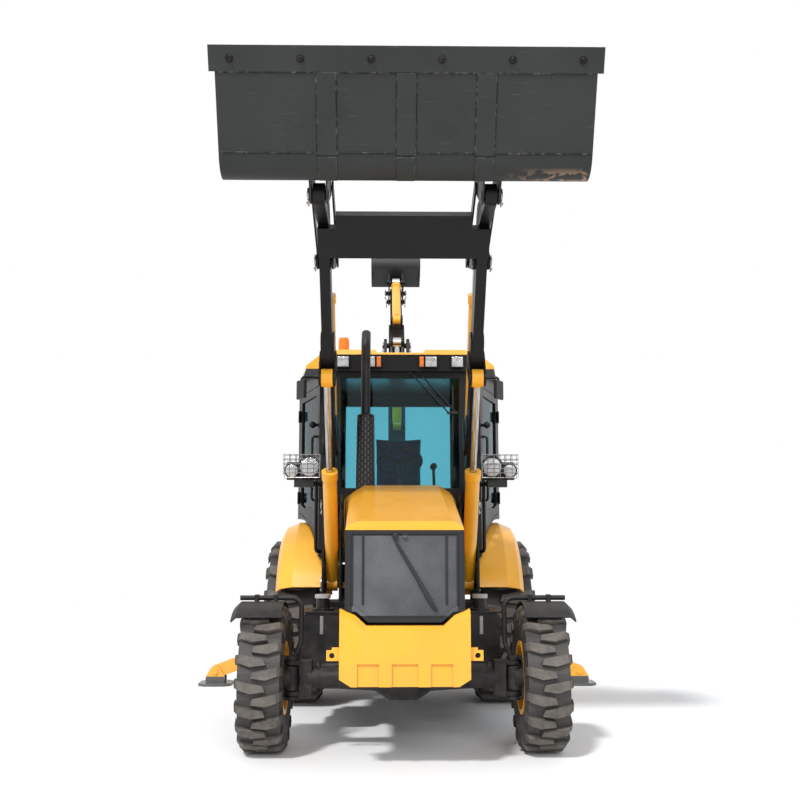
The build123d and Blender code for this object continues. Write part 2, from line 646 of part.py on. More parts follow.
def build_seat():
    """Seat with a thick cushion and a tall backrest on its box."""
    floor = CAB_FLOOR_Z + 30 + GAP
    seat = block(-170, 170, 2100, 2480, floor, 1570)
    seat += soft_block(-245, 245, 2030, 2510, 1560, 1700, 45)
    back = [(2420, 1660), (2545, 1660), (2640, 2370), (2580, 2430), (2530, 2410), (2440, 1760)]
    backrest = side_plate(back, -225, 225)
    backrest = fillet(backrest.edges().filter_by(Axis.X), 18)
    narrow = [(-225, 1600), (225, 1600), (225, 2180), (160, 2430), (-160, 2430), (-225, 2180)]
    seat += backrest & cross_plate(narrow, 2300, 2800)
    export("seat", seat)


def build_controls():
    """Steering column with its wheel, and a console with two levers beside the seat."""
    floor = CAB_FLOOR_Z + 30 + GAP
    column = block(-120, 120, 1500, 1630, floor, 1850)
    column += rod((0, 1580, 1830), (0, 1750, 2100), 30)
    wheel_plane = Plane(origin=(0, 1750, 2100), z_dir=(0, 170, 270))
    column += wheel_plane * Torus(190, 14)
    for turn in (0, 120, 240):
        column += wheel_plane * Rot(0, 0, turn) * Pos(97, 0, 0) * Box(190, 30, 12)
    column += wheel_plane * Cylinder(42, 34)
    console = block(270, 400, 2150, 2600, floor, 1800)
    for y in (2220, 2330):
        console += rod((330, y, 1780), (320, y - 40, 2080), 11)
        console += Pos(320, y - 40, 2090) * Sphere(30)
    export("controls", Compound(children=list(column.solids()) + list(console.solids())))


# ---- tanks, fenders and fittings ----
def build_tanks():
    """Tanks hung outside the rails with filler necks on top, and the two-rung steps behind them."""
    side = RAIL_OUT + GAP
    tank = block(side, 740, 640, 1060, 320, 870)
    tank = chamfer(tank.edges().filter_by(Axis.Y), 22)
    tank += block(side, 752, 628, 1072, 870, 884)
    tank += post(600, 760, 880, 900, 88)
    tank += post(600, 760, 890, 985, 50)
    tank += post(600, 760, 975, 1004, 60)
    for z in (400, 560):
        tank += block(side, 720, 1120, 1400, z, z + 40)
    tank += block(side, 380, 1050, 1400, 380, 620)
    export("side_tanks", both_sides(tank))


FENDER_SHELL = 12.0


def build_rear_fenders():
    """Fender over each rear tyre with a rolled outer shoulder, a pad on the cab and a front foot."""
    centre = (WHEELBASE, REAR_TYRE["radius"])
    rise = REAR_TYRE["radius"] + 153
    wall = FENDER_SHELL
    section = [(646, rise), (890, rise), (990, rise - 40), (1030, rise - 110), (1042, rise - 110),
               (1000, rise - 32), (895, rise + wall), (646, rise + wall)]
    shell = revolve(make_face(Polyline(*section, close=True)), Axis.X, 146)
    shell = Pos(0, *centre) * Rot(12, 0, 0) * shell
    top = centre[1] + rise + wall
    pads = block(ARCH_WALL_X + GAP, 690, 2080, 2320, top - 30, top - 4)
    foot = block(646, 700, 1406, 1500, 1020, 1066)
    foot += block(RAIL_OUT + GAP, 700, 1438, 1500, 1020, 1066)
    foot += block(RAIL_OUT + GAP, 395, 1438, 1500, 800, 1066)
    foot -= pin_x(centre, rise - 1, 640, 710)
    export("rear_fenders", both_sides(shell + pads + foot))


ROOF_LAMPS = ((485, 55), (262, 55))      # X and half width of each square lamp in the visor
INDICATOR_X = 182.0
BIG_LAMP = (732.0, 1995.0)
SMALL_LAMP = (876.0, 1967.0)


def build_lamps():
    """Square lamps and indicators in the visor, the beacon, and a lamp cluster beside each arm."""
    face = VISOR_FRONT - GAP
    roof_lamps = []
    for x, half in ROOF_LAMPS:
        roof_lamps.append(soft_block(x - half, x + half, face - 46, face, 2866, 2966, 9))
    roof_lamps.append(soft_block(INDICATOR_X - 22, INDICATOR_X + 22, face - 30, face, 2866, 2966, 9))
    cluster = pin_y(BIG_LAMP, 84, 984, 1076) + pin_y(BIG_LAMP, 90, 984, 1004)
    cluster += pin_y(SMALL_LAMP, 56, 1010, 1076) + pin_y(SMALL_LAMP, 60, 1010, 1022)
    cluster += block(668, 920, 1070, 1084, 1896, 2040)
    cluster += block(700, 857, 1030, 1110, 1838, 1898)
    cluster += rod((700, 1080, 1868), (600, 1480, 1868), 18)
    cluster -= cab_space()
    beacon = post(-495, 1700, 3030 + GAP, 3062, 54) + post(-495, 1700, 3062, 3172, 47)
    beacon += Pos(-495, 1700, 3172) * Cylinder(40, 16, align=(Align.CENTER, Align.CENTER, Align.MIN))
    lamps = both_sides(*roof_lamps, cluster)
    export("work_lamps", Compound(children=list(lamps.solids()) + list(beacon.solids())))


def build_mirrors_and_rails():
    """Outside mirrors on their arms and the grab rails in front of the doors."""
    wall = Vector(664, 1487, 0)
    head = Pos(838, 1392, 2683) * Rot(0, 0, -32) * soft_block(-14, 14, -75, 75, -82, 82, 12)
    root = Vector(-12, 12, 0)
    arm = [wall + root + Vector(0, 0, 2790), wall + Vector(60, -60, 2790), (838, 1392, 2790), (838, 1392, 2740)]
    head += bent_tube(arm, 10, 25)
    grip = [(702, 1392, 1940), (702, 1392, 1320)]
    hold = [wall + root + Vector(0, 0, 1940), *grip, wall + root + Vector(0, 0, 1320)]
    rail = bent_tube(hold, 15, 40)
    export("mirrors_and_rails", both_sides(head - cab_space(), rail - cab_space()))


# ---- loader ----
def cross_member_box(near, far, half):
    """Stretch of the box that joins the arms along their lower edges."""
    corners = [along(ARM_PIVOT, ARM_KNEE, s, o) for s, o in ((near, 86), (far, 86), (far, 175), (near, 175))]
    return side_plate(corners, -half, half)


def build_loader_arms():
    """Two bent arms joined by the cross member, with ears for the rams and the tilt levers."""
    half = ARM_WIDTH / 2
    x0 = ARM_X - half
    x1 = ARM_X + half
    middle = along(ARM_PIVOT, ARM_KNEE, 900)
    arm = link_plate(ARM_PIVOT, 85, middle, 105, x0, x1)
    arm += link_plate(middle, 105, ARM_KNEE, 90, x0, x1)
    arm += link_plate(ARM_KNEE, 90, BUCKET_PIN, 72, x0, x1)
    arm += pin_x(ARM_PIVOT, 62, ARM_X - 56, ARM_X + 56)
    arm -= pin_x(ARM_PIVOT, 30.3, ARM_X - 60, ARM_X + 60)
    lift_root = along(ARM_PIVOT, ARM_KNEE, 1320, 10)
    tilt_root = along(ARM_PIVOT, ARM_KNEE, 560, -20)
    plate = 12
    for ear_x, doubler_x in ((x0 - 2 * plate, x0 - plate), (x1 + plate, x1)):
        arm += link_plate(LIFT_TIP, 60, lift_root, 85, ear_x, ear_x + plate)
        arm += link_plate(lift_root, 85, along(ARM_PIVOT, ARM_KNEE, 1480), 80, doubler_x, doubler_x + plate)
        arm += link_plate(TILT_BASE, 52, tilt_root, 80, ear_x, ear_x + plate)
        arm += link_plate(tilt_root, 80, along(ARM_PIVOT, ARM_KNEE, 760), 80, doubler_x, doubler_x + plate)
    arm += pin_x(LEVER_PIVOT, 30, x0 - 26, x1 + 26)
    arm += pin_x(BUCKET_PIN, 30, x0 - 26, x1 + 26)
    arms = arm + flipped(arm)
    tube = cross_member_box(2215, 2525, ARM_X - 88) + cross_member_box(2215, 2430, x1)
    export("loader_arms", arms + tube)


def build_loader_linkage():
    """Tilt levers and links, and the tilt and lift rams of both arms."""
    lever = link_plate(LEVER_PIVOT, 62, LEVER_TOP, 46, ARM_X + 48, ARM_X + 60)
    lever -= pin_x(LEVER_PIVOT, 30.3, ARM_X + 40, ARM_X + 70)
    export("tilt_levers", both_sides(pair(lever, ARM_X)))
    link = link_plate(LEVER_TOP, 46, LINK_FRONT, 46, ARM_X + 65, ARM_X + 77)
    export("tilt_links", both_sides(pair(link, ARM_X)))
    closed_tilt = 1080.0
    closed_lift = 1050.0
    export("tilt_barrels", both_sides(ram_barrel(TILT_BASE, LEVER_TOP, TILT_RAM, closed_tilt, ARM_X)))
    export("tilt_rods", both_sides(ram_rod(TILT_BASE, LEVER_TOP, TILT_RAM, 400, ARM_X)))
    lift_barrel = ram_barrel(LIFT_BASE, LIFT_TIP, LIFT_RAM, closed_lift, ARM_X)
    lift_barrel -= pin_x(LIFT_BASE, 30.3, ARM_X - 100, ARM_X + 100)
    export("lift_barrels", both_sides(lift_barrel))
    export("lift_rods", both_sides(ram_rod(LIFT_BASE, LIFT_TIP, LIFT_RAM, 725, ARM_X)))


def bucket_spot(out, up):
    """Station in the loader bucket: out along its floor from the heel, and up its back."""
    floor = atan2(BUCKET_LIP[1] - BUCKET_HEEL[1], BUCKET_LIP[0] - BUCKET_HEEL[0])
    back = floor - pi / 2
    y = BUCKET_HEEL[0] + out * cos(floor) + up * cos(back)
    return (y, BUCKET_HEEL[1] + out * sin(floor) + up * sin(back))


STRIP_X = 485.0                  # outer wear strips under the bucket's floor
STRIP_HALF = 58.0


def build_loader_bucket():
    """Bent floor and back in one sheet, end plates, cutting edge, wear strips and the hinge ears."""
    bends = [bucket_spot(*p) for p in ((740, 0), (0, 0), (0, 645), (130, 765))]
    wrap = bent_sheet(bends, [145, 190], BUCKET_WALL, BUCKET_HALF)
    end_points = [(740, 0), (150, 0), (45, 43), (0, 145), (0, 563), (45, 687), (130, 765), (420, 470),
                  (640, 120)]
    ends = side_plate([bucket_spot(*p) for p in end_points], BUCKET_HALF - 16, BUCKET_HALF)
    wrap += ends + flipped(ends)
    edge = [(640, 0), (640, -20), (792, -20), (792, -6), (775, 0)]
    wrap += side_plate([bucket_spot(*p) for p in edge], -EDGE_HALF, EDGE_HALF)
    strip = [bucket_spot(*p) for p in ((150, -10), (150, -17), (160, -23), (638, -23), (638, -10))]
    for x in (-STRIP_X, 0, STRIP_X):
        wrap += side_plate(strip, x - STRIP_HALF, x + STRIP_HALF)
    for x in (ARM_X + 48, ARM_X - 60):
        ear = link_plate(BUCKET_PIN, 62, LINK_FRONT, 52, x, x + 12)
        ear += side_plate([bucket_spot(*p) for p in ((4, 150), (4, 560), (-108, 640), (-116, 190))], x, x + 12)
        ear -= pin_x(BUCKET_PIN, 30.3, x - 5, x + 20)
        wrap += ear + flipped(ear)
    export("loader_bucket", wrap)


# ---- backhoe ----
STAB_RAM_TIP = along(STAB_PIVOT, STAB_ANKLE, 255, 172)
DIPPER_RAM_BASE = along(BOOM_PIVOT, BOOM_TIP, 1800, 240)
DIPPER_TAIL = polar(BOOM_TIP, 450, 186)
ROCKER_PIVOT = along(DIPPER_TIP, BOOM_TIP, 280)
ROCKER_TOP = polar(ROCKER_PIVOT, 360, 152.9)
HOE_BUCKET_ANGLE = 86.0
HOE_LINK_PIN = polar(DIPPER_TIP, 240, 161)
HOE_RAM_BASE = along(BOOM_TIP, DIPPER_TIP, 250, 220)


def build_rear_frame():
    """Rear cross frame with the stabiliser hangers and the two arms that hold the kingpost."""
    frame = block(-560, 560, 3050 + GAP, 3120, 360, 1180)
    frame -= block(-180, 180, 3040, 3130, 560, 800)
    for z in (400, 840):
        frame += plan_plate([(-240, 3110), (240, 3110), (85, 3330), (85, SWING_Y), (-85, SWING_Y), (-85, 3330)],
                            z, z + 60)
        frame += post(0, SWING_Y, z, z + 60, 85)
    hanger = cross_plate([(0, 1100), (0, 1370), (120, 1370), (220, 1180), (520, 1180), (520, 540), (470, 520),
                          (300, 520), (300, 1100)], 3119, 3160)
    hanger += pin_y(STAB_PIVOT, 28, 3150, 3320)
    hanger += pin_y(STAB_RAM_BASE, 26, 3150, 3290)
    frame += hanger + flipped(hanger)
    export("rear_frame", frame)


def build_kingpost():
    """Swinging casting: hub between the frame's arms, boom cheeks behind, boom ram lugs on top."""
    hub = post(0, SWING_Y, 465, 835, 82)
    hub += block(-140, 140, 3620, 3662, 400, 970)
    hub += block(-82, 82, SWING_Y, 3640, 465, 835)
    hub += block(-110, 110, 3340, 3662, 908, 965)
    cheek = link_plate(BOOM_PIVOT, 80, (3700, 640), 110, 100, 135)
    cheek += side_plate([(3630, 420), (3630, 968), (3760, 930), (3830, 850), (3800, 600), (3740, 430)], 100, 135)
    hub += cheek + flipped(cheek)
    lug = link_plate(BOOM_RAM_BASE, 56, (3440, 1000), 90, 52, 72) - block(40, 80, 3300, 3600, 800, 960)
    hub += lug + flipped(lug)
    hub += pin_x(BOOM_PIVOT, 32, -140, 140)
    hub += pin_x(BOOM_RAM_BASE, 28, -78, 78)
    export("kingpost", hub)


def build_boom():
    """Boxed boom with a forked tip for the dipper and lugs for the two rams."""
    middle = along(BOOM_PIVOT, BOOM_TIP, 1300, -20)
    body = link_plate(BOOM_PIVOT, 85, middle, 150, -94, 94)
    body += link_plate(middle, 150, along(BOOM_PIVOT, BOOM_TIP, 2450), 105, -94, 94)
    body -= pin_x(BOOM_PIVOT, 32.3, -100, 100)
    fork = link_plate(along(BOOM_PIVOT, BOOM_TIP, 2250), 95, BOOM_TIP, 80, 110, 145)
    fork += block(90, 115, 4150, 4240, 2980, 3150)
    lugs = link_plate(BOOM_RAM_TIP, 60, along(BOOM_PIVOT, BOOM_TIP, 1500), 90, 60, 80)
    lugs += link_plate(DIPPER_RAM_BASE, 55, along(BOOM_PIVOT, BOOM_TIP, 1850), 90, 60, 80)
    for piece in (fork, lugs):
        body += piece
        body += flipped(piece)
    body += pin_x(BOOM_TIP, 30, -150, 150)
    export("boom", body)


def build_dipper():
    """Dipper: boxed beam whose tail carries the dipper ram's pin and whose top carries the bucket ram."""
    shoulder = along(BOOM_TIP, DIPPER_TIP, 300)
    body = link_plate(BOOM_TIP, 95, shoulder, 120, -90, 90)
    body += link_plate(shoulder, 120, DIPPER_TIP, 62, -70, 70)
    lug = link_plate(DIPPER_TAIL, 55, BOOM_TIP, 90, 52, 72)
    lug += link_plate(HOE_RAM_BASE, 50, along(BOOM_TIP, DIPPER_TIP, 300, 60), 80, 52, 72)
    body += lug
    body += flipped(lug)
    body -= pin_x(BOOM_TIP, 30.3, -100, 100)
    body += pin_x(DIPPER_TIP, 28, -125, 125)
    body += pin_x(ROCKER_PIVOT, 28, -110, 110)
    export("dipper", body)


def build_hoe_linkage():
    """Rocker plates and the link that turn the backhoe bucket."""
    rocker = link_plate(ROCKER_PIVOT, 46, ROCKER_TOP, 42, 78, 94) + pin_x(ROCKER_TOP, 26, 52, 118)
    export("hoe_rocker", both_sides(rocker - pin_x(ROCKER_PIVOT, 28.3, 70, 100)))
    link = link_plate(ROCKER_TOP, 44, HOE_LINK_PIN, 44, 99, 113)
    export("hoe_link", both_sides(link - pin_x(ROCKER_TOP, 26.3, 90, 120)))


def build_hoe_rams():
    """Boom, dipper and bucket rams of the backhoe."""
    rams = (("boom_ram", BOOM_RAM_BASE, BOOM_RAM_TIP, 1060.0, 150.0),
            ("dipper_ram", DIPPER_RAM_BASE, DIPPER_TAIL, 775.0, 170.0),
            ("bucket_ram", HOE_RAM_BASE, ROCKER_TOP, 830.0, 200.0))   # name, ends, closed length, rod's start
    for name, base, tip, closed, start in rams:
        barrel = ram_barrel(base, tip, HOE_RAM, closed)
        export(f"{name}_barrel", barrel - pin_x(base, 28.3, -100, 100))
        export(f"{name}_rod", ram_rod(base, tip, HOE_RAM, start))


def hoe_spot(out, back):
    """Station in the digging bucket: out along its mouth from the dipper's pin, and back from it."""
    a = radians(HOE_BUCKET_ANGLE)
    return (DIPPER_TIP[0] + out * cos(a) - back * sin(a), DIPPER_TIP[1] + out * sin(a) + back * cos(a))


HOE_TEETH = 5


def build_hoe_bucket():
    """Digging bucket: rolled back, side plates, two back ribs, five teeth and the two pin ears."""
    bends = [hoe_spot(*p) for p in ((760, 70), (560, 285), (250, 350), (95, -25))]
    wrap = bent_sheet(bends[::-1], [90, 240], HOE_WALL, HOE_HALF)
    end_points = [(95, -25), (170, 235), (290, 325), (480, 300), (640, 205), (760, 70), (640, 20), (350, -60)]
    end = side_plate([hoe_spot(*p) for p in end_points], HOE_HALF - 14, HOE_HALF)
    wrap += end + flipped(end)
    for i in range(HOE_TEETH):
        x = (2 * i / (HOE_TEETH - 1) - 1) * (HOE_HALF - 45)
        wrap += side_plate([hoe_spot(720, 105), hoe_spot(870, -10), hoe_spot(720, 85)], x - 32, x + 32)
    ear = link_plate(DIPPER_TIP, 52, HOE_LINK_PIN, 48, 76, 92)
    ear += side_plate([DIPPER_TIP, HOE_LINK_PIN, hoe_spot(170, 260), hoe_spot(98, -22)], 76, 92)
    ear -= pin_x(DIPPER_TIP, 28.3, 70, 100)
    wrap += ear + flipped(ear)
    wrap += pin_x(HOE_LINK_PIN, 26, -94, 94) - pin_x(HOE_LINK_PIN, 30, -60, 60)
    export("hoe_bucket", wrap)


def stand_up(shape):
    """Turn a ram made in the side view round into the stabilisers' cross view."""
    return Pos(0, STAB_Y, 0) * (Rot(0, 0, -90) * shape)


def build_stabilisers():
    """Stabiliser legs with their pads and clevises, and their upright rams."""
    leg = cross_link(STAB_PIVOT, 85, STAB_ANKLE, 60, 3190, 3290)
    leg -= pin_y(STAB_PIVOT, 28.3, 3100, 3400)
    for y0 in (3195, 3271):
        leg += cross_link(STAB_RAM_TIP, 42, along(STAB_PIVOT, STAB_ANKLE, 265, 20), 55, y0, y0 + 14)
    pad = block(1640, 1960, 3080, 3400, 0, 26)
    pad = chamfer(pad.edges().filter_by(Axis.Z), 60)
    for y0 in (3170, 3292):
        cheek = cross_link(STAB_ANKLE, 58, (STAB_ANKLE[0], 60), 95, y0, y0 + 18)
        pad += cheek - block(1600, 2000, 3000, 3500, -60, 0)
    pad += block(1750, 1850, 3188, 3292, 20, 90)
    pad += pin_y(STAB_ANKLE, 27, 3160, 3320)
    leg += pad
    barrel = stand_up(ram_barrel(STAB_RAM_BASE, STAB_RAM_TIP, STAB_RAM, 475.0))
    barrel -= pin_y(STAB_RAM_BASE, 26.3, 3100, 3400)
    shaft = stand_up(ram_rod(STAB_RAM_BASE, STAB_RAM_TIP, STAB_RAM, 430.0))
    for node, shape in (("stabiliser_leg", leg), ("stabiliser_barrel", barrel), ("stabiliser_rod", shaft)):
        export(f"{node}_left", shape)
        export(f"{node}_right", flipped(shape))


def main():
    os.makedirs("parts", exist_ok=True)
    build_wheels()
    build_front_axle()
    build_knuckles()
    build_rear_axle()
    build_chassis()
    build_towers()
    build_counterweight()
    build_engine()
    build_hood()
    build_cowl()
    build_exhaust()
    build_cab_frame()
    build_glass()
    build_doors()
    build_roof()
    build_seat()
    build_controls()
    build_tanks()
    build_rear_fenders()
    build_lamps()
    build_mirrors_and_rails()
    build_loader_arms()
    build_loader_linkage()
    build_loader_bucket()
    build_rear_frame()
    build_kingpost()
    build_boom()
    build_dipper()
    build_hoe_linkage()
    build_hoe_rams()
    build_hoe_bucket()
    build_stabilisers()


if __name__ == "__main__":
    main()
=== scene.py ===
import json
from contextlib import contextmanager
from functools import cache, partialmethod
from math import atan2, cos, pi, radians, sin

import bmesh
import bpy
from mathutils import Matrix, Vector


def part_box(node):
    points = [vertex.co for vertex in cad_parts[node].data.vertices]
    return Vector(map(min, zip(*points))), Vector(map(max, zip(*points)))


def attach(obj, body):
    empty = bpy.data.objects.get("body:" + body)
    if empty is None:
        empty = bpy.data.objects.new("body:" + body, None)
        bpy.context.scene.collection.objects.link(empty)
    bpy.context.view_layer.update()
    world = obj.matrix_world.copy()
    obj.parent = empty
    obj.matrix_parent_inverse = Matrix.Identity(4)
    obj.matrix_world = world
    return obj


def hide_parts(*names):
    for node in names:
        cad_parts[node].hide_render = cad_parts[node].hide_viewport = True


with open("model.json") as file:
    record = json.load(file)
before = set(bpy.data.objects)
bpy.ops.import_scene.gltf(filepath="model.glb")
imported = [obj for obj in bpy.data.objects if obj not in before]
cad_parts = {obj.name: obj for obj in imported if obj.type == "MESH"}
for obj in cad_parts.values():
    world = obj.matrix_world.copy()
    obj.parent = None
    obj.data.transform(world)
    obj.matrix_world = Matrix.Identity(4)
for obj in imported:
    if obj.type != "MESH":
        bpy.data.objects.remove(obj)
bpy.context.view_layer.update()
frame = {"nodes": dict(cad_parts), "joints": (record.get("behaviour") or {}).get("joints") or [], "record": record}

bl_info = {
    "name": "Backhoe loader dressing",
    "version": (1, 0, 0),
    "blender": (4, 5, 0),
    "location": "3D View > Sidebar > Backhoe",
    "description": "Finishes and small pieces of a backhoe loader",
    "category": "Object",
}


# ---- places, in metres ----
def middle(node):
    """Middle of a node's box."""
    low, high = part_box(node)
    return [(a + b) / 2 for a, b in zip(low, high)]


FRONT_AXLE_Y = middle("tyre_front_left")[1]


def at(station):
    """Place along the machine of a station measured rearwards from the front axle."""
    return FRONT_AXLE_Y + station


ARM_X = 0.555
BIG_LAMP = (0.732, 0.984, 1.995, 0.090)  # X, station of the front, Z and radius of the rim
SMALL_LAMP = (0.876, 1.010, 1.967, 0.060)
GUARD_LOW = (0.646, 0.945, 1.908)  # X, station and Z of the lamp guard's corners
GUARD_HIGH = (0.936, 0.945, 2.092)
GUARD_DEPTH = 0.10
ROOF_LAMP_FACE = 1.3458
ROOF_LAMP_X = (0.485, 0.262)
ROOF_LAMP_Z = 2.916
INDICATOR_X = 0.182
BEACON_SIDE_X = -0.415  # the beacon's dome is beside this and above its foot
BEACON_FOOT_Z = 3.0622
EXHAUST = (-0.280, 0.790)  # X and station
EXHAUST_GUARD = (1.62, 2.37)  # lowest and highest slot
EXHAUST_TIP = (2.55, 3.05)  # the burnt end fades in between these heights
ROD_EYE_Z = 2.530  # the lift rods' eyes start here
TANK_CAP_Z = 0.9745  # lower edge of the filler caps
FOOT_TOP_Z = 0.085
MESH_HALF = 0.330  # the grille's mesh: half width, lower and upper edge
MESH_LOW = 0.945
MESH_HIGH = 1.440
WINDSCREEN = 1.452
TANK_FRONT = 0.640
BUCKET_HEEL = (-1.080, 3.620)  # station and Z
BUCKET_LIP = (-1.430, 4.330)
BUCKET_SKIN = 0.014  # the floor's outer face under its inner one
BUCKET_INSIDE_X = 1.136
STRIPS = (-0.485, 0.0, 0.485)  # wear strips under the loader bucket
STRIP_HALF = 0.058
HEEL_BEND = 0.145  # radius of the loader bucket's heel


def joint_place(name):
    """Where a joint turns, in the machine's frame."""
    return next(Vector(joint["pos_m"]) for joint in frame["joints"] if joint["name"] == name)


def bucket_spot(out, up):
    """Station in the loader bucket: out along its floor from the heel, and up its back."""
    floor = atan2(BUCKET_LIP[1] - BUCKET_HEEL[1], BUCKET_LIP[0] - BUCKET_HEEL[0])
    back = floor - pi / 2
    y = BUCKET_HEEL[0] + out * cos(floor) + up * cos(back)
    return at(y), BUCKET_HEEL[1] + out * sin(floor) + up * sin(back)


# ---- settings ----
class BackhoeSizes(bpy.types.PropertyGroup):
    nut_radius: bpy.props.FloatProperty(
        name="Wheel nut", description="Radius of a wheel nut", default=0.016, unit="LENGTH")
    edge_bolt_radius: bpy.props.FloatProperty(
        name="Edge bolt", description="Radius of a bolt head in the cutting edge",
        default=0.017, unit="LENGTH")
    edge_bolt_pitch: bpy.props.FloatProperty(
        name="Edge bolt pitch", description="Distance between the bolts of the cutting edge",
        default=0.423, unit="LENGTH")
    cage_wire: bpy.props.FloatProperty(
        name="Cage wire", description="Thickness of the lamp guards' wire",
        default=0.0055, unit="LENGTH")
    weld_radius: bpy.props.FloatProperty(
        name="Weld bead", description="Radius of the weld beads", default=0.006, unit="LENGTH")
    edge_round: bpy.props.FloatProperty(
        name="Edge rounding", description="Radius at which painted edges catch the light",
        default=0.004, unit="LENGTH")
    seat_crown: bpy.props.FloatProperty(
        name="Seat crown", description="How far the seat's cushions stand up in the middle",
        default=0.030, unit="LENGTH")


class BackhoeColours(bpy.types.PropertyGroup):
    body: bpy.props.FloatVectorProperty(
        name="Body paint", description="Colour of the hood, roof, fenders and rams",
        default=(0.93, 0.43, 0.020), subtype="COLOR")
    frame: bpy.props.FloatVectorProperty(
        name="Frame paint", description="Colour of the cab, arms and chassis",
        default=(0.006, 0.006, 0.007), subtype="COLOR")
    bucket: bpy.props.FloatVectorProperty(
        name="Bucket paint", description="Colour of both buckets",
        default=(0.026, 0.028, 0.0275), subtype="COLOR")
    rubber: bpy.props.FloatVectorProperty(
        name="Rubber", description="Colour of the tyres",
        default=(0.030, 0.028, 0.026), subtype="COLOR")
    dust: bpy.props.FloatVectorProperty(
        name="Dust", description="Colour of dried soil on treads and edges",
        default=(0.23, 0.20, 0.17), subtype="COLOR")
    glass: bpy.props.FloatVectorProperty(
        name="Glass", description="Tint of the cab's windows",
        default=(0.30, 0.66, 0.74), subtype="COLOR")
    seat: bpy.props.FloatVectorProperty(
        name="Seat cloth", description="Colour of the seat's cloth",
        default=(0.020, 0.045, 0.130), subtype="COLOR")
    amber: bpy.props.FloatVectorProperty(
        name="Amber", description="Colour of the beacon and the indicators",
        default=(0.95, 0.22, 0.01), subtype="COLOR")


def sizes():
    return bpy.context.scene.backhoe_sizes


def colours():
    return bpy.context.scene.backhoe_colours


# ---- modelling helpers ----
def choose(obj):
    """Make one object the only selected and the active one."""
    bpy.ops.object.select_all(action="DESELECT")
    obj.select_set(True)
    bpy.context.view_layer.objects.active = obj


def settle(obj, name=None):
    """Put the object's place into its mesh."""
    choose(obj)
    bpy.ops.object.transform_apply(location=True, rotation=True, scale=True)
    if name:
        obj.name = name
        obj.data.name = name
    return obj


def box_between(low, high):
    """A cube stretched between two corners."""
    place = [(a + b) / 2 for a, b in zip(low, high)]
    size = [abs(b - a) for a, b in zip(low, high)]
    bpy.ops.mesh.primitive_cube_add(size=1, location=place, scale=size)
    return settle(bpy.context.object)


def drum(radius, depth, place, axis="Z", sides=24):
    """A cylinder round one of the main axes."""
    turns = {"X": (0, pi / 2, 0), "Y": (pi / 2, 0, 0), "Z": (0, 0, 0)}
    bpy.ops.mesh.primitive_cylinder_add(
        vertices=sides, radius=radius, depth=depth, location=place, rotation=turns[axis])
    return settle(bpy.context.object)


def bar(start, end, radius):
    """A round bar between two points."""
    start = Vector(start)
    way = Vector(end) - start
    bpy.ops.mesh.primitive_cylinder_add(
        vertices=8, radius=radius, depth=way.length, location=start + way / 2,
        rotation=way.to_track_quat("Z", "Y").to_euler())
    return settle(bpy.context.object)


@contextmanager
def editing(obj, test=None):
    """Edit mode, with the faces selected whose middle and normal pass the test, or all of them."""
    choose(obj)
    bpy.ops.object.mode_set(mode="EDIT")
    bpy.ops.mesh.select_mode(type="FACE")
    mesh = bmesh.from_edit_mesh(obj.data)
    for face in mesh.faces:
        face.select = test is None or test(face.calc_center_median(), face.normal)
    mesh.select_flush_mode()
    bmesh.update_edit_mesh(obj.data)
    yield
    bpy.ops.object.mode_set(mode="OBJECT")


def tidy(obj):
    """Merge doubles and turn every face outwards."""
    with editing(obj):
        bpy.ops.mesh.remove_doubles(threshold=0.00001)
        bpy.ops.mesh.normals_make_consistent(inside=False)
    return obj


def modified(obj, kind, **settings):
    """Add a modifier with its settings and apply it."""
    choose(obj)
    change = obj.modifiers.new("change", kind)
    for key, value in settings.items():
        setattr(change, key, value)
    bpy.ops.object.modifier_apply(modifier="change")
    return obj


def bevelled(obj, width, segments=2):
    """Round the object's sharp edges."""
    return modified(obj, "BEVEL", width=width, segments=segments, limit_method="ANGLE",
                    angle_limit=radians(30))


def step_face(obj, axis, sign, inset, push, width=0.0, segments=2):
    """Inset the face that looks along an axis, push it out and round the sharp edges."""
    along = "XYZ".index(axis)
    way = [0, 0, 0]
    way[along] = sign * push
    with editing(obj, lambda spot, normal: normal[along] * sign > 0.9):
        bpy.ops.mesh.inset(thickness=inset, depth=0)
        bpy.ops.mesh.extrude_region_move(TRANSFORM_OT_translate={"value": way})
    return bevelled(obj, width, segments) if width else obj


def joined(objects, name):
    """Join objects into one with its origin at the frame's."""
    bpy.ops.object.select_all(action="DESELECT")
    for obj in objects:
        obj.select_set(True)
    bpy.context.view_layer.objects.active = objects[0]
    if len(objects) > 1:
        bpy.ops.object.join()
    return settle(bpy.context.object, name)


def duplicate(obj):
    """A copy with its own mesh."""
    choose(obj)
    bpy.ops.object.duplicate(linked=False)
    return bpy.context.object


def copies(model, places, name):
    """Copies of a model made at the origin, joined; the model is used up."""
    made = []
    for matrix in places:
        copy = duplicate(model)
        copy.matrix_world = matrix
        made.append(settle(copy))
    choose(model)
    bpy.ops.object.delete()
    return joined(made, name)


def both_sides(obj, name):
    """Add the mirror image across the machine's middle plane."""
    other = duplicate(obj)
    other.scale = (-1, 1, 1)
    return joined([obj, tidy(settle(other))], name)


def finish_piece(obj, body, finish, angle=35):
    """Give a piece its body, slot and finish, and shade it smooth up to an angle."""
    choose(obj)
    if angle:
        bpy.ops.object.shade_smooth_by_angle(angle=radians(angle))
    obj.data.materials.clear()
    obj.data.materials.append(material_named(finish))
    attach(obj, body)
    return obj


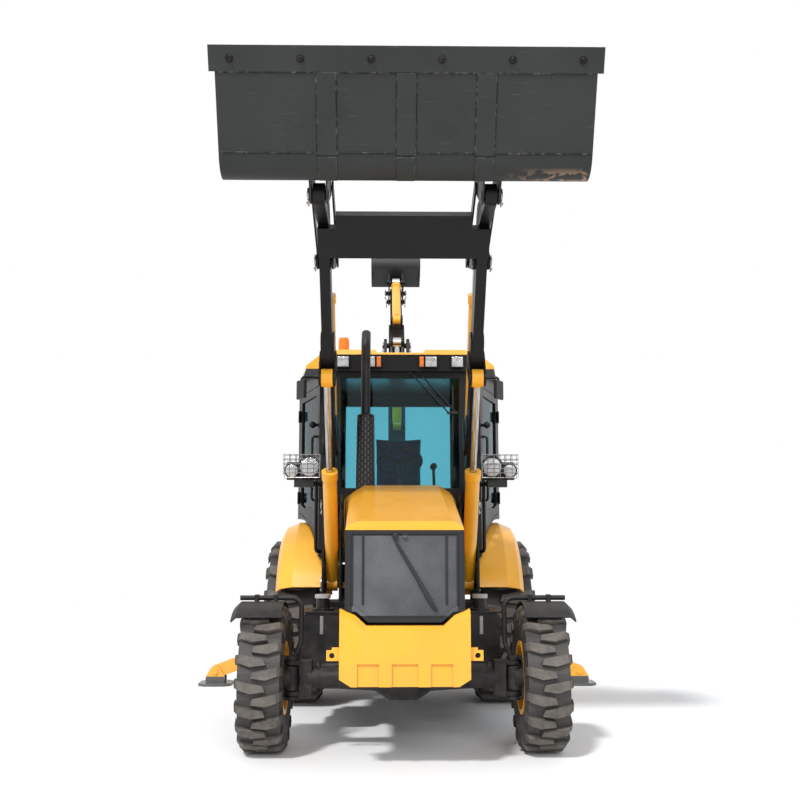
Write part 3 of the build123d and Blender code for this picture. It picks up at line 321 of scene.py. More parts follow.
# ---- shader helpers ----
class Value:
    """A node's result; arithmetic on it adds Math nodes to its tree."""

    def __init__(self, socket):
        self.socket = socket
        self.tree = socket.id_data

    def combine(self, operation, *others):
        return maths(operation, self, *others)

    def __rsub__(self, other):
        return maths("SUBTRACT", other, self)

    __add__ = partialmethod(combine, "ADD")
    __sub__ = partialmethod(combine, "SUBTRACT")
    __mul__ = partialmethod(combine, "MULTIPLY")
    __truediv__ = partialmethod(combine, "DIVIDE")
    __lt__ = partialmethod(combine, "LESS_THAN")
    __gt__ = partialmethod(combine, "GREATER_THAN")
    __abs__ = partialmethod(combine, "ABSOLUTE")


def feed(socket, value):
    """Link a result to a socket, or set the socket's own value."""
    if isinstance(value, Value):
        value.tree.links.new(value.socket, socket)
    elif socket.type == "RGBA":
        socket.default_value = (*value[:3], 1)
    else:
        socket.default_value = value


def node(tree, kind, inputs=None, output=0, **settings):
    """Add a node with its settings and inputs, and give one of its results."""
    made = tree.nodes.new(kind)
    for key, value in settings.items():
        setattr(made, key, value)
    for key, value in (inputs or {}).items():
        feed(made.inputs[key], value)
    return Value(made.outputs[output])


def maths(operation, *values):
    """A Math node's result."""
    tree = next(value.tree for value in values if isinstance(value, Value))
    return node(tree, "ShaderNodeMath", dict(enumerate(values)), operation=operation)


def vector_maths(operation, *values, output="Vector"):
    """A Vector Math node's result."""
    return node(values[0].tree, "ShaderNodeVectorMath", dict(enumerate(values)), output,
                operation=operation)


def axes(vector):
    """A vector's X, Y and Z."""
    made = vector.tree.nodes.new("ShaderNodeSeparateXYZ")
    feed(made.inputs[0], vector)
    return [Value(part) for part in made.outputs]


def mix_colour(amount, first, second):
    """A colour between two colours."""
    return node(amount.tree, "ShaderNodeMix", {0: amount, 6: first, 7: second}, 2, data_type="RGBA")


def mix_shader(amount, first, second):
    """A shader between two shaders."""
    return node(amount.tree, "ShaderNodeMixShader", {0: amount, 1: first, 2: second})


def shaded(colour, amount):
    """A colour made darker or lighter."""
    return [part * amount for part in colour]


def ramp(value, low, high, to_low=0.0, to_high=1.0):
    """A value mapped from one range to another, and held at its ends."""
    return node(value.tree, "ShaderNodeMapRange", {
        "Value": value, "From Min": low, "From Max": high, "To Min": to_low, "To Max": to_high})


def noise(vector, scale, detail, rough=0.5):
    """Noise between 0 and 1."""
    return node(vector.tree, "ShaderNodeTexNoise", {
        "Vector": vector, "Scale": scale, "Detail": detail, "Roughness": rough}, "Fac")


def wave(vector, scale, direction, distortion=0.0):
    """Soft bands between 0 and 1."""
    return node(vector.tree, "ShaderNodeTexWave", {
        "Vector": vector, "Scale": scale, "Distortion": distortion}, "Fac", bands_direction=direction)


def bump(height, strength, distance, **normal):
    """A normal that follows a height, on top of another Normal if one is given."""
    return node(height.tree, "ShaderNodeBump", {
        "Strength": strength, "Distance": distance, "Height": height, **normal}, "Normal")


def stretched(tree, scale):
    """The point on the object with each axis scaled."""
    return node(tree, "ShaderNodeMapping", {"Vector": object_place(tree), "Scale": scale}, "Vector")


def object_place(tree):
    """The point on the object, in metres."""
    return node(tree, "ShaderNodeTexCoord", output="Object")


def height_of(tree):
    """The point's height over the ground."""
    return axes(object_place(tree))[2]


def normal_of(tree, which="Normal"):
    """The surface's own normal."""
    return node(tree, "ShaderNodeNewGeometry", output=which)


# ---- shared effects ----
FLOAT = "NodeSocketFloat"
VECTOR = "NodeSocketVector"


def shared(name, inputs, outputs):
    """Make a shader group of a function: built at its first use, placed with its inputs at each."""
    def build(maker):
        group = bpy.data.node_groups.new(name, "ShaderNodeTree")
        for label, default in inputs.items():
            kind = VECTOR if default is None else FLOAT
            socket = group.interface.new_socket(label, in_out="INPUT", socket_type=kind)
            if default is not None:
                socket.default_value = default
        for label, kind in outputs.items():
            group.interface.new_socket(label, in_out="OUTPUT", socket_type=kind)
        given = group.nodes.new("NodeGroupInput").outputs
        results = maker(group, *[Value(given[label]) for label in inputs])
        out = group.nodes.new("NodeGroupOutput").inputs
        for label, result in zip(outputs, results):
            feed(out[label], result)
        return group

    def wrap(maker):
        def place(tree, **values):
            made = tree.nodes.new("ShaderNodeGroup")
            made.node_tree = bpy.data.node_groups.get(name) or build(maker)
            for key, value in values.items():
                feed(made.inputs[key.capitalize()], value)
            results = [Value(made.outputs[label]) for label in outputs]
            return results if len(results) > 1 else results[0]
        return place
    return wrap


@shared("Patches", {"Scale": 3.0, "Detail": 5.0, "Low": 0.3, "High": 0.7}, {"Mask": FLOAT})
def patches(tree, scale, detail, low, high):
    """Soft patches that come and go over a surface."""
    return [ramp(noise(object_place(tree), scale, detail, 0.6), low, high)]


@shared("Rounded edges", {"Radius": 0.004}, {"Normal": VECTOR, "Edge": FLOAT})
def rounded_edges(tree, radius):
    """Rounded edges, with a mask of the edges themselves."""
    bevel = node(tree, "ShaderNodeBevel", {"Radius": radius}, samples=4)
    same = vector_maths("DOT_PRODUCT", bevel, normal_of(tree), output="Value")
    return bevel, ramp(same, 0.985, 0.90)


@shared("Settled dust", {"Reach": 1.0, "Scale": 9.0, "Upward": 0.3}, {"Mask": FLOAT})
def settled_dust(tree, reach, scale, upward):
    """Dust that settles low down and on faces that look up."""
    low = maths("MAXIMUM", 1.0 - height_of(tree) / reach, 0.0)
    up = maths("MAXIMUM", axes(normal_of(tree))[2], 0.0) * upward
    patchy = ramp(noise(object_place(tree), scale, 6.0, 0.65), 0.38, 0.62)
    return [maths("MINIMUM", low + up, 1.0) * patchy]


@shared("Grain", {"Scale": 200.0, "Depth": 0.1, "Normal": None}, {"Normal": VECTOR})
def grain(tree, scale, depth, normal):
    """Fine grain on top of a normal."""
    return [bump(noise(object_place(tree), scale, 3.0), depth, 0.002, Normal=normal)]


@shared("Wheel distance", {"Axle": None}, {"Distance": FLOAT})
def wheel_distance(tree, axle):
    """How far a point lies from a wheel's axle."""
    offset = vector_maths("SUBTRACT", object_place(tree), axle)
    return [vector_maths("LENGTH", vector_maths("MULTIPLY", offset, (0, 1, 1)), output="Value")]


@shared("Punched holes", {"Pitch": 0.012}, {"Mask": FLOAT})
def punched_holes(tree, pitch):
    """Staggered round holes in a sheet that stands across the machine."""
    across, _, up = axes(object_place(tree))
    rows = []
    for shift in (50.0, 50.5):
        x, z = [maths("FRACT", way / pitch + shift) - 0.5 for way in (across, up)]
        rows.append(x * x + z * z < 0.055)
    return [maths("MAXIMUM", *rows)]


@shared("Guard slots", {"Centre": None, "Columns": 16.0, "Pitch": 0.045, "Low": 1.6, "High": 2.4},
        {"Mask": FLOAT})
def guard_slots(tree, centre, columns, pitch, low, high):
    """Rows of upright slots round a standing tube."""
    x, y, height = axes(vector_maths("SUBTRACT", object_place(tree), centre))
    turn = (maths("ARCTAN2", y, x) / (2 * pi) + 1.0) * columns
    odd = maths("MODULO", maths("FLOOR", turn), 2.0) * 0.5
    column = abs(maths("FRACT", turn) - 0.5)
    row = abs(maths("FRACT", height / pitch + odd) - 0.5)
    return [(column < 0.20) * (row < 0.30) * ((height > low) * (height < high))]


@shared("Weave", {"Scale": 400.0, "Depth": 0.3}, {"Normal": VECTOR, "Threads": FLOAT})
def weave(tree, scale, depth):
    """Crossing threads of a woven cloth."""
    across, up = [wave(object_place(tree), scale, direction, 0.4) for direction in "XZ"]
    threads = across * up
    return bump(threads, depth, 0.001), threads


# ---- finishes: each gives the inputs of a Principled shader ----
def painted(tree, colour, rough=0.32, coat=0.4, shine=0.5, wear=0.35, dust=0.16, reach=1.0,
            shade=0.82, other=None):
    """Gloss paint, faded, rubbed and dusty; other is a second colour and its mask's maker."""
    normal, edge = rounded_edges(tree, radius=sizes().edge_round)
    faded = patches(tree, scale=1.7, low=0.35)
    chips = patches(tree, scale=38.0, detail=8.0, low=0.52, high=0.60)
    soil = settled_dust(tree, reach=reach, scale=7.0, upward=0.18)
    tone = mix_colour(faded, colour, shaded(colour, shade))
    if other:
        tone = mix_colour(other[1](tree), tone, other[0])
    tone = mix_colour(edge * chips * wear, tone, (0.16, 0.15, 0.14))
    return {
        "Base Color": mix_colour(soil * dust, tone, colours().dust),
        "Roughness": soil * 0.35 + faded * 0.10 + rough,
        "Normal": grain(tree, scale=160.0, depth=0.06, normal=normal),
        "Coat Weight": coat, "Coat Roughness": 0.12, "Specular IOR Level": shine}


def rod_finish(tree):
    """Bright ram rod that ends in a painted eye."""
    eye = height_of(tree) > ROD_EYE_Z
    marks = ramp(noise(stretched(tree, (60, 4, 4)), 2.0, 5.0), 0.35, 0.65)
    steel = mix_colour(marks, (0.62, 0.58, 0.54), (0.30, 0.27, 0.25))
    return {
        "Base Color": mix_colour(eye, steel, colours().body), "Metallic": 1.0 - eye,
        "Roughness": ramp(eye, 0.0, 1.0, 0.14, 0.38),
        "Normal": rounded_edges(tree, radius=sizes().edge_round)[0]}


def bucket_finish(tree):
    """Matt bucket paint, scuffed bare along its edges, streaked, and muddy in one corner."""
    normal, edge = rounded_edges(tree, radius=0.006)
    scuff = ramp(noise(stretched(tree, (0.8, 7.0, 7.0)), 9.0, 8.0, 0.7), 0.60, 0.68)
    faded = patches(tree, scale=2.2, detail=6.0, low=0.35)
    chips = patches(tree, scale=24.0, detail=8.0, low=0.5, high=0.6)
    base = colours().bucket
    tone = mix_colour(faded, base, shaded(base, 1.35))
    tone = mix_colour(scuff * 0.25, tone, (0.12, 0.12, 0.115))
    tone = mix_colour(edge * chips * 0.6, tone, (0.30, 0.29, 0.27))
    x, _, z = axes(object_place(tree))
    corner = ramp(x, 0.60, 0.95) * ramp(z, BUCKET_HEEL[1] + 0.075, BUCKET_HEEL[1] + 0.035)
    mud = corner * patches(tree, scale=15.0, detail=8.0, low=0.50, high=0.54)
    return {
        "Base Color": mix_colour(mud, tone, (0.36, 0.24, 0.15)),
        "Roughness": faded * 0.16 + 0.46 + mud * 0.3,
        "Normal": grain(tree, scale=90.0, depth=0.12, normal=normal), "Specular IOR Level": 0.3}


def tyre_finish(tree, which):
    """Rubber with dusty lug tops and fine rings on the sidewall."""
    tyre = f"tyre_{which}_left"
    low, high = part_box(tyre)
    radius = (high[2] - low[2]) / 2
    distance = wheel_distance(tree, axle=middle(tyre))
    tread = ramp(distance, radius - 0.030, radius - 0.012)
    wall = ramp(distance, radius - 0.075, radius - 0.10)
    dusty = patches(tree, scale=21.0, detail=8.0, high=0.62)
    film = patches(tree, scale=6.0, detail=6.0, low=0.35, high=0.75)
    soil = tread * (dusty * 0.34 + 0.12)
    tone = mix_colour(film * 0.14, colours().rubber, colours().dust)
    along = node(tree, "ShaderNodeCombineXYZ", {"X": distance * 30.0})
    rings = bump(wave(along, 1.0, "X") * wall, 0.35, 0.003)
    return {
        "Base Color": mix_colour(soil, tone, colours().dust), "Roughness": soil * 0.3 + 0.62,
        "Normal": grain(tree, scale=130.0, depth=0.35, normal=rings)}


def cast_finish(tree):
    """Painted casting, rough and dusty."""
    normal, _ = rounded_edges(tree, radius=0.008)
    soil = settled_dust(tree, reach=0.9, scale=11.0, upward=0.5)
    faded = patches(tree, scale=5.0, detail=6.0, low=0.35)
    tone = mix_colour(faded, (0.008, 0.008, 0.009), (0.022, 0.021, 0.020))
    return {
        "Base Color": mix_colour(soil * 0.22, tone, colours().dust), "Roughness": soil * 0.3 + 0.5,
        "Normal": grain(tree, scale=120.0, depth=0.5, normal=normal), "Specular IOR Level": 0.3}


def polished(tree, colour, rough):
    """Bright metal with faint wipe marks."""
    marks = patches(tree, scale=60.0, detail=8.0, high=0.8)
    film = patches(tree, scale=6.0, detail=4.0, low=0.4, high=0.8)
    return {
        "Base Color": mix_colour(film * 0.25, colour, shaded(colour, 0.75)),
        "Roughness": marks * 0.12 + rough, "Normal": grain(tree, scale=300.0, depth=0.03),
        "Metallic": 1.0}


def glass_finish(tree, tint, bend):
    """Tinted safety glass with a faint film of dust; bend is its index of refraction."""
    film = patches(tree, scale=2.5, detail=6.0, high=0.9)
    return {
        "Base Color": mix_colour(film, tint, shaded(tint, 0.93)), "Roughness": film * 0.05,
        "IOR": bend, "Transmission Weight": 1.0, "Metallic": 0.0}


def grille_finish(tree):
    """Perforated dark sheet in a moulded frame; the holes are only painted, near-black for the dark shroud behind
    them and its shade.
    """
    x, y, z = axes(object_place(tree))
    mesh = (abs(x) < MESH_HALF) * ((z > MESH_LOW) * (z < MESH_HIGH))
    # near-black hole dots: partly the dark shroud's own colour, partly painted shade of the depth behind the sheet
    holes = mesh * punched_holes(tree, pitch=0.0125)
    faded = patches(tree)
    sheet = mix_colour(faded, (0.085, 0.090, 0.096), (0.160, 0.168, 0.178))
    tone = mix_colour(mesh * (y < middle("grille")[1]), (0.014, 0.014, 0.015), sheet)
    return {
        "Base Color": mix_colour(holes, tone, (0.006, 0.006, 0.006)),
        "Roughness": faded * 0.15 + 0.42, "Normal": bump(1.0 - holes, 0.6, 0.002),
        "Specular IOR Level": 0.35}


def exhaust_finish(tree):
    """Black heat-proof coating with a slotted guard and a burnt tip."""
    slots = guard_slots(tree, centre=(EXHAUST[0], at(EXHAUST[1]), 0.0), columns=18.0, pitch=0.046,
                        low=EXHAUST_GUARD[0], high=EXHAUST_GUARD[1])
    soot = patches(tree, scale=14.0, detail=7.0, low=0.35, high=0.65)
    burnt = ramp(height_of(tree), *EXHAUST_TIP) * soot
    tone = mix_colour(burnt, (0.010, 0.010, 0.011), (0.045, 0.034, 0.028))
    return {
        "Base Color": mix_colour(slots, tone, (0.085, 0.080, 0.078)),
        "Roughness": burnt * 0.3 + 0.34, "Normal": bump(1.0 - slots, 0.9, 0.004),
        "Specular IOR Level": 0.3}


def lamp_finish(tree):
    """Black lamp cases, and the amber dome of the beacon."""
    x, _, z = axes(object_place(tree))
    dome = (x < BEACON_SIDE_X) * (z > BEACON_FOOT_Z)
    ribs = wave(object_place(tree), 24.0, "Z")
    faded = patches(tree, scale=30.0)
    case = mix_colour(faded, (0.010, 0.010, 0.011), (0.020, 0.020, 0.020))
    return {
        "Base Color": mix_colour(dome, case, colours().amber),
        "Roughness": ramp(dome, 0.0, 1.0, 0.42, 0.16), "Normal": bump(ribs * dome, 0.6, 0.002),
        "Specular IOR Level": 0.35}


def lens_finish(tree, colour, metal, ribs, depth):
    """Moulded lens with upright flutes over a bright reflector."""
    flutes = wave(object_place(tree), ribs, "X")
    faded = patches(tree, scale=25.0, detail=4.0)
    return {
        "Base Color": mix_colour(flutes * depth + faded * 0.20, colour, shaded(colour, 0.22)),
        "Roughness": ramp(faded, 0.0, 1.0, 0.10, 0.18), "Normal": bump(flutes, 0.5, 0.002),
        "Metallic": metal, "Coat Weight": 1.0, "Coat Roughness": 0.04}


def cloth_finish(tree):
    """Woven seat cloth with a soft sheen."""
    colour = colours().seat
    normal, threads = weave(tree, scale=330.0, depth=0.45)
    faded = patches(tree, scale=8.0)
    tone = mix_colour(threads, shaded(colour, 0.6), colour)
    return {
        "Base Color": mix_colour(faded * 0.35, tone, shaded(colour, 1.6)),
        "Roughness": faded * 0.12 + 0.78, "Normal": normal, "Sheen Weight": 0.4}


def moulded(tree):
    """Moulded black plastic with a fine leather-like grain."""
    colour = (0.017, 0.017, 0.018)
    normal, _ = rounded_edges(tree, radius=0.003)
    faded = patches(tree, scale=6.0)
    return {
        "Base Color": mix_colour(faded, colour, shaded(colour, 1.5)),
        "Roughness": faded * 0.12 + 0.5,
        "Normal": grain(tree, scale=260.0, depth=0.3, normal=normal), "Specular IOR Level": 0.3}


def black_paint(tree, **details):
    """Paint of the cab, arms and chassis."""
    return painted(tree, colours().frame, coat=0.0, shade=0.6, **details)


def looking_down(tree):
    """Mask of the faces that look down."""
    return axes(normal_of(tree, "True Normal"))[2] < -0.4


# By slot, or by node without its side where a node's finish isn't its slot's
FINISHES = {
    "yellow_paint": lambda tree: painted(tree, colours().body, reach=1.1),
    "cab_roof": lambda tree: painted(tree, colours().body, other=(colours().frame, looking_down)),
    "stabiliser_leg": lambda tree: painted(
        tree, colours().body, other=((0.07, 0.072, 0.075), lambda tree: height_of(tree) < FOOT_TOP_Z)),
    "black_paint": lambda tree: black_paint(
        tree, rough=0.34, shine=0.28, wear=0.5, dust=0.10, reach=0.9),
    "side_tanks": lambda tree: black_paint(
        tree, rough=0.30, shine=0.4, wear=0.3, dust=0.18, reach=1.4,
        other=((0.40, 0.40, 0.41), lambda tree: height_of(tree) > TANK_CAP_Z)),
    "lift_rods": rod_finish,
    "bucket_paint": bucket_finish,
    "cast": cast_finish,
    "engine": cast_finish,
    "chrome_rod": lambda tree: polished(tree, (0.62, 0.60, 0.58), 0.12),
    "bare_steel": lambda tree: polished(tree, (0.40, 0.39, 0.38), 0.30),
    "window_glass": lambda tree: glass_finish(tree, colours().glass, 1.3),
    # door glass: the window tint darkened to 0.45, painted shade for the dark look the side windows get from their
    # reflections
    "door_glass": lambda tree: glass_finish(tree, shaded(colours().glass, 0.45), 1.12),
    "grille_plastic": grille_finish,
    "exhaust_steel": exhaust_finish,
    "lamp": lamp_finish,
    "lamp_lens": lambda tree: lens_finish(tree, (0.90, 0.91, 0.93), 0.75, 55.0, 0.70),
    "amber_lens": lambda tree: lens_finish(tree, colours().amber, 0.0, 40.0, 0.25),
    "seat_cloth": cloth_finish,
    "black_plastic": moulded,
    "controls": moulded,
    "tyre_front": lambda tree: tyre_finish(tree, "front"),
    "tyre_rear": lambda tree: tyre_finish(tree, "rear"),
}


@cache
def material_named(name):
    """A finish by its name, made once."""
    material = bpy.data.materials.new(f"{name}_finish")
    material.use_nodes = True
    tree = material.node_tree
    for label, value in FINISHES[name](tree).items():
        feed(tree.nodes["Principled BSDF"].inputs[label], value)
    return material


# ---- operators ----
class BACKHOE_OT_finish_nodes(bpy.types.Operator):
    """Give every part of the frame its finish"""
    bl_idname = "backhoe.finish_nodes"
    bl_label = "Finish the frame's parts"

    def execute(self, context):
        for part in frame["record"]["subparts"]:
            slot = part["material_slot"]
            if slot == "seat_cloth":
                continue
            own = part["node"].removesuffix("_left").removesuffix("_right")
            materials = frame["nodes"][part["node"]].data.materials
            materials.clear()
            materials.append(material_named(own if own in FINISHES else slot))
        return {"FINISHED"}


def cushion(name, size, crown, channels, place, lean):
    """A crowned pad: flat below, sides pulled in between the corners, sewn channels across."""
    bpy.ops.mesh.primitive_cube_add(size=2)
    pad = bpy.context.object
    with editing(pad):
        bpy.ops.mesh.subdivide(number_cuts=23)
    for vertex in pad.data.vertices:
        u, v, w = vertex.co
        pull = 1 - 0.05 * (1 - v * v) * (1 - w * w)
        pinch = 1 - 0.05 * (1 - u * u) * (1 - w * w)
        soft = 1 - 0.10 * max(abs(w) - 0.55, 0) / 0.45
        z = w * size[2] / 2
        if w > 0:
            z += crown * ((1 - u * u) * (1 - v * v)) ** 0.5 * w
            for groove in channels:
                z -= 0.012 * w * max(0.0, 1 - abs(v - groove) / 0.07) * (1 - u ** 8)
        vertex.co = (u * size[0] / 2 * pull * soft, v * size[1] / 2 * pinch * soft, z)
    modified(pad, "SUBSURF", levels=1, render_levels=1)
    pad.matrix_world = Matrix.Translation(place) @ Matrix.Rotation(lean, 4, "X")
    return tidy(settle(pad, name))


class BACKHOE_OT_add_seat(bpy.types.Operator):
    """Seat with two sewn cushions on a moulded base"""
    bl_idname = "backhoe.add_seat"
    bl_label = "Add the seat"

    def execute(self, context):
        low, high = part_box("seat")
        crown = sizes().seat_crown
        base = box_between((-0.165, low[1] + 0.08, low[2]), (0.165, high[1] - 0.18, 1.53))
        base = settle(tidy(step_face(base, "Z", 1, -0.04, 0.025, 0.012, 3)), "seat_base")
        finish_piece(base, "chassis", "black_plastic")
        lower = cushion("seat_cushion", (0.48, 0.46, 0.12), crown, (-0.45, 0.1, 0.6),
                        (0, low[1] + 0.235, 1.612), 0)
        rest = cushion("seat_backrest", (0.43, 0.66, 0.10), crown * 0.8, (-0.7, -0.35, 0.0, 0.35, 0.7),
                       (0, high[1] - 0.115, 2.045), radians(81))
        for pad in (lower, rest):
            finish_piece(pad, "chassis", "seat_cloth", 60)
        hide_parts("seat")
        return {"FINISHED"}


def lamp_round(x, station, z, radius):
    """A domed lens in a cupped rim, facing forwards."""
    y = at(station)
    bpy.ops.mesh.primitive_uv_sphere_add(
        segments=32, ring_count=16, radius=radius * 0.86, location=(x, y, z), scale=(1, 0.16, 1))
    lens = settle(bpy.context.object)
    with editing(lens):
        bpy.ops.mesh.bisect(plane_co=(x, y + 0.001, z), plane_no=(0, 1, 0), use_fill=True,
                            clear_outer=True)
    rim = drum(radius, radius * 0.14, (x, y, z), "Y", 40)
    return lens, step_face(rim, "Y", -1, radius * 0.14, radius * -0.08, radius * 0.02)


def lamp_square(x, half, half_height):
    """A square lens with a raised middle, facing forwards from the roof."""
    face = at(ROOF_LAMP_FACE)
    lens = box_between((x - half, face - 0.006, ROOF_LAMP_Z - half_height),
                       (x + half, face + 0.002, ROOF_LAMP_Z + half_height))
    return step_face(lens, "Y", -1, 0.007, 0.005, 0.0025)


class BACKHOE_OT_add_lamps(bpy.types.Operator):
    """Lenses, rims and wire guards of the lamps"""
    bl_idname = "backhoe.add_lamps"
    bl_label = "Add the lamps' lenses and guards"

    def execute(self, context):
        lenses, rims = map(list, zip(lamp_round(*BIG_LAMP), lamp_round(*SMALL_LAMP)))
        lenses += [lamp_square(x, 0.047, 0.043) for x in ROOF_LAMP_X]
        amber = lamp_square(INDICATOR_X, 0.018, 0.044)
        for obj, name, finish in (
                (joined(lenses, "lenses"), "lamp_lenses", "lamp_lens"),
                (joined(rims, "rims"), "lamp_rims", "black_plastic"),
                (amber, "indicator_lenses", "amber_lens"),
                (self.guard(), "lamp_guards", "bare_steel")):
            finish_piece(both_sides(obj, name), "chassis", finish)
        return {"FINISHED"}

    def guard(self):
        """Bent wire guard in front of a pair of lamps."""
        low, high = [Vector((x, at(station), z)) for x, station, z in (GUARD_LOW, GUARD_HIGH)]
        bpy.ops.mesh.primitive_grid_add(x_subdivisions=6, y_subdivisions=5, size=1,
                                        location=(low + high) / 2, rotation=(pi / 2, 0, 0))
        cage = bpy.context.object
        cage.scale = (high.x - low.x, high.z - low.z, 1)
        with editing(settle(cage)):
            bpy.ops.mesh.select_mode(type="EDGE")
            mesh = bmesh.from_edit_mesh(cage.data)
            for edge in mesh.edges:
                edge.select = edge.is_boundary
            bmesh.update_edit_mesh(cage.data)
            bpy.ops.mesh.extrude_region_move(TRANSFORM_OT_translate={"value": (0, GUARD_DEPTH, 0)})
        return tidy(modified(cage, "WIREFRAME", thickness=sizes().cage_wire))


def hexagon_bolt(radius, height):
    """Bolt head on a washer, standing along +Z from the origin."""
    washer = drum(radius * 1.45, height * 0.3, (0, 0, height * 0.15), sides=20)
    head = drum(radius, height * 0.75, (0, 0, height * 0.62), sides=6)
    step_face(head, "Z", 1, radius * 0.18, height * 0.08)
    return bevelled(joined([washer, head], "bolt"), radius * 0.06, 1)


def pointing(place, way):
    """Matrix that stands a model made along +Z at a place, along a way."""
    return Matrix.Translation(place) @ Vector(way).to_track_quat("Z", "Y").to_matrix().to_4x4()


class BACKHOE_OT_add_wheel_nuts(bpy.types.Operator):
    """Ring of nuts and a stepped hub cap on each wheel"""
    bl_idname = "backhoe.add_wheel_nuts"
    bl_label = "Add the wheel nuts"

    def execute(self, context):
        # axle, number of nuts, ring radius, X of the disc's face, hub radius, X of the hub's end
        rows = (("front", 8, 0.092, 0.975, 0.0696, 1.021), ("rear", 10, 0.142, 0.949, 0.108, 0.995))
        for which, count, ring, face, hub, end in rows:
            for side, sign in (("left", 1), ("right", -1)):
                wheel = f"{which}_{side}"
                _, y, z = middle(f"tyre_{wheel}")
                turns = [2 * pi * i / count for i in range(count)]
                places = [pointing((sign * face, y + ring * cos(turn), z + ring * sin(turn)), (sign, 0, 0))
                          for turn in turns]
                nuts = copies(hexagon_bolt(sizes().nut_radius, 0.020), places, f"wheel_nuts_{wheel}")
                finish_piece(nuts, f"wheel_{wheel}", "bare_steel")
                cap = drum(hub * 0.8, 0.022, (sign * (end + 0.008), y, z), axis="X", sides=32)
                step_face(cap, "X", sign, hub * 0.22, 0.010, 0.003)
                finish_piece(settle(cap, f"hub_cap_{wheel}"), f"wheel_{wheel}",
                             "yellow_paint")
        return {"FINISHED"}


class BACKHOE_OT_add_bucket_fittings(bpy.types.Operator):
    """Bolts of the cutting edge, and the welds and heel strips under the loader bucket"""
    bl_idname = "backhoe.add_bucket_fittings"
    bl_label = "Add the bucket's bolts and welds"

    def execute(self, context):
        for obj, finish, angle in ((self.bolts(), "black_paint", 35), (self.welds(), "bucket_paint", 60),
                                   (self.heel_strips(), "bucket_paint", 35)):
            finish_piece(obj, "loader_bucket", finish, angle)
        return {"FINISHED"}

    def bolts(self):
        """Six bolts under the cutting edge."""
        y, z = bucket_spot(0.716, -0.020)
        y_out, z_out = bucket_spot(0.716, -0.030)
        pitch = sizes().edge_bolt_pitch
        places = [pointing(((i - 2.5) * pitch, y, z), (0, y_out - y, z_out - z)) for i in range(6)]
        return copies(hexagon_bolt(sizes().edge_bolt_radius, 0.012), places, "edge_bolts")

    def welds(self):
        """Beads across the floor between the wear strips, and along both sides of each strip."""
        radius = sizes().weld_radius
        beads = []
        ends = [-BUCKET_INSIDE_X]
        for x in STRIPS:
            ends += [x - STRIP_HALF, x + STRIP_HALF]
        ends.append(BUCKET_INSIDE_X)
        for out in (0.168, 0.638):
            spot = bucket_spot(out, -BUCKET_SKIN)
            beads += [bar((x0, *spot), (x1, *spot), radius) for x0, x1 in zip(ends[::2], ends[1::2])]
        start, end = bucket_spot(0.150, -BUCKET_SKIN), bucket_spot(0.636, -BUCKET_SKIN)
        for x in STRIPS:
            for side in (-STRIP_HALF - 0.001, STRIP_HALF + 0.001):
                beads.append(bar((x + side, *start), (x + side, *end), radius))
        weld = joined(beads, "bucket_welds")
        with editing(weld):
            bpy.ops.mesh.subdivide(number_cuts=12)
            bpy.ops.transform.vertex_random(offset=0.0012, seed=4)
        return weld

    def heel_strips(self):
        """The three wear strips carried on round the bend of the heel."""
        centre = bucket_spot(HEEL_BEND, HEEL_BEND)
        deep = bucket_spot(HEEL_BEND, -BUCKET_SKIN - 0.009)
        high = bucket_spot(HEEL_BEND, -BUCKET_SKIN + 0.003)
        parts = []
        for x in STRIPS:
            bpy.ops.mesh.primitive_plane_add(
                size=1, location=(x, (deep[0] + high[0]) / 2, (deep[1] + high[1]) / 2))
            strip = bpy.context.object
            strip.scale = (STRIP_HALF * 2, 0.012, 1)
            strip.rotation_euler = (atan2(high[1] - deep[1], high[0] - deep[0]), 0, 0)
            with editing(settle(strip)):
                bpy.ops.mesh.spin(steps=12, angle=radians(-68), center=(x, *centre), axis=(1, 0, 0))
            parts.append(strip)
        strips = tidy(joined(parts, "heel_strips"))
        with editing(strips):
            bpy.ops.mesh.select_mode(type="EDGE")
            bpy.ops.mesh.select_all(action="SELECT")
            bpy.ops.mesh.fill_holes(sides=4)
        return bevelled(tidy(strips), 0.002, 1)


class BACKHOE_OT_add_pins(bpy.types.Operator):
    """Pin heads with their keeper plates at the pivots that show"""
    bl_idname = "backhoe.add_pins"
    bl_label = "Add the pin heads"

    def execute(self, context):
        # joint, body that holds the pin, distance of the pin's end from the middle plane, radius
        rows = (
            ("loader_lift", "chassis", ARM_X + 0.083, 0.044),
            ("lift_barrel_turn", "chassis", ARM_X + 0.083, 0.044),
            ("loader_bucket_tilt", "loader_arms", ARM_X + 0.064, 0.042),
            ("tilt_lever_turn", "loader_arms", ARM_X + 0.064, 0.042),
            ("boom_lift", "kingpost", 0.140, 0.046), ("dipper_crowd", "boom", 0.150, 0.044),
            ("hoe_bucket_curl", "dipper", 0.125, 0.040), ("hoe_rocker_turn", "dipper", 0.110, 0.040))
        for joint, body, reach, radius in rows:
            _, y, z = joint_place(joint)
            heads = []
            for sign in (-1, 1):
                head = drum(radius, 0.012, (sign * (reach + 0.006), y, z), axis="X", sides=28)
                step_face(head, "X", sign, radius * 0.45, 0.004, 0.002)
                keeper = box_between((sign * reach, y - 0.018, z - radius - 0.035),
                                     (sign * (reach + 0.008), y + 0.018, z - radius * 0.5))
                bolt = hexagon_bolt(0.009, 0.010)
                bolt.matrix_world = pointing((sign * (reach + 0.007), y, z - radius - 0.018), (sign, 0, 0))
                heads += [head, bevelled(keeper, 0.002), settle(bolt)]
            finish_piece(joined(heads, f"pin_heads_{joint}"), body, "bare_steel")
        return {"FINISHED"}


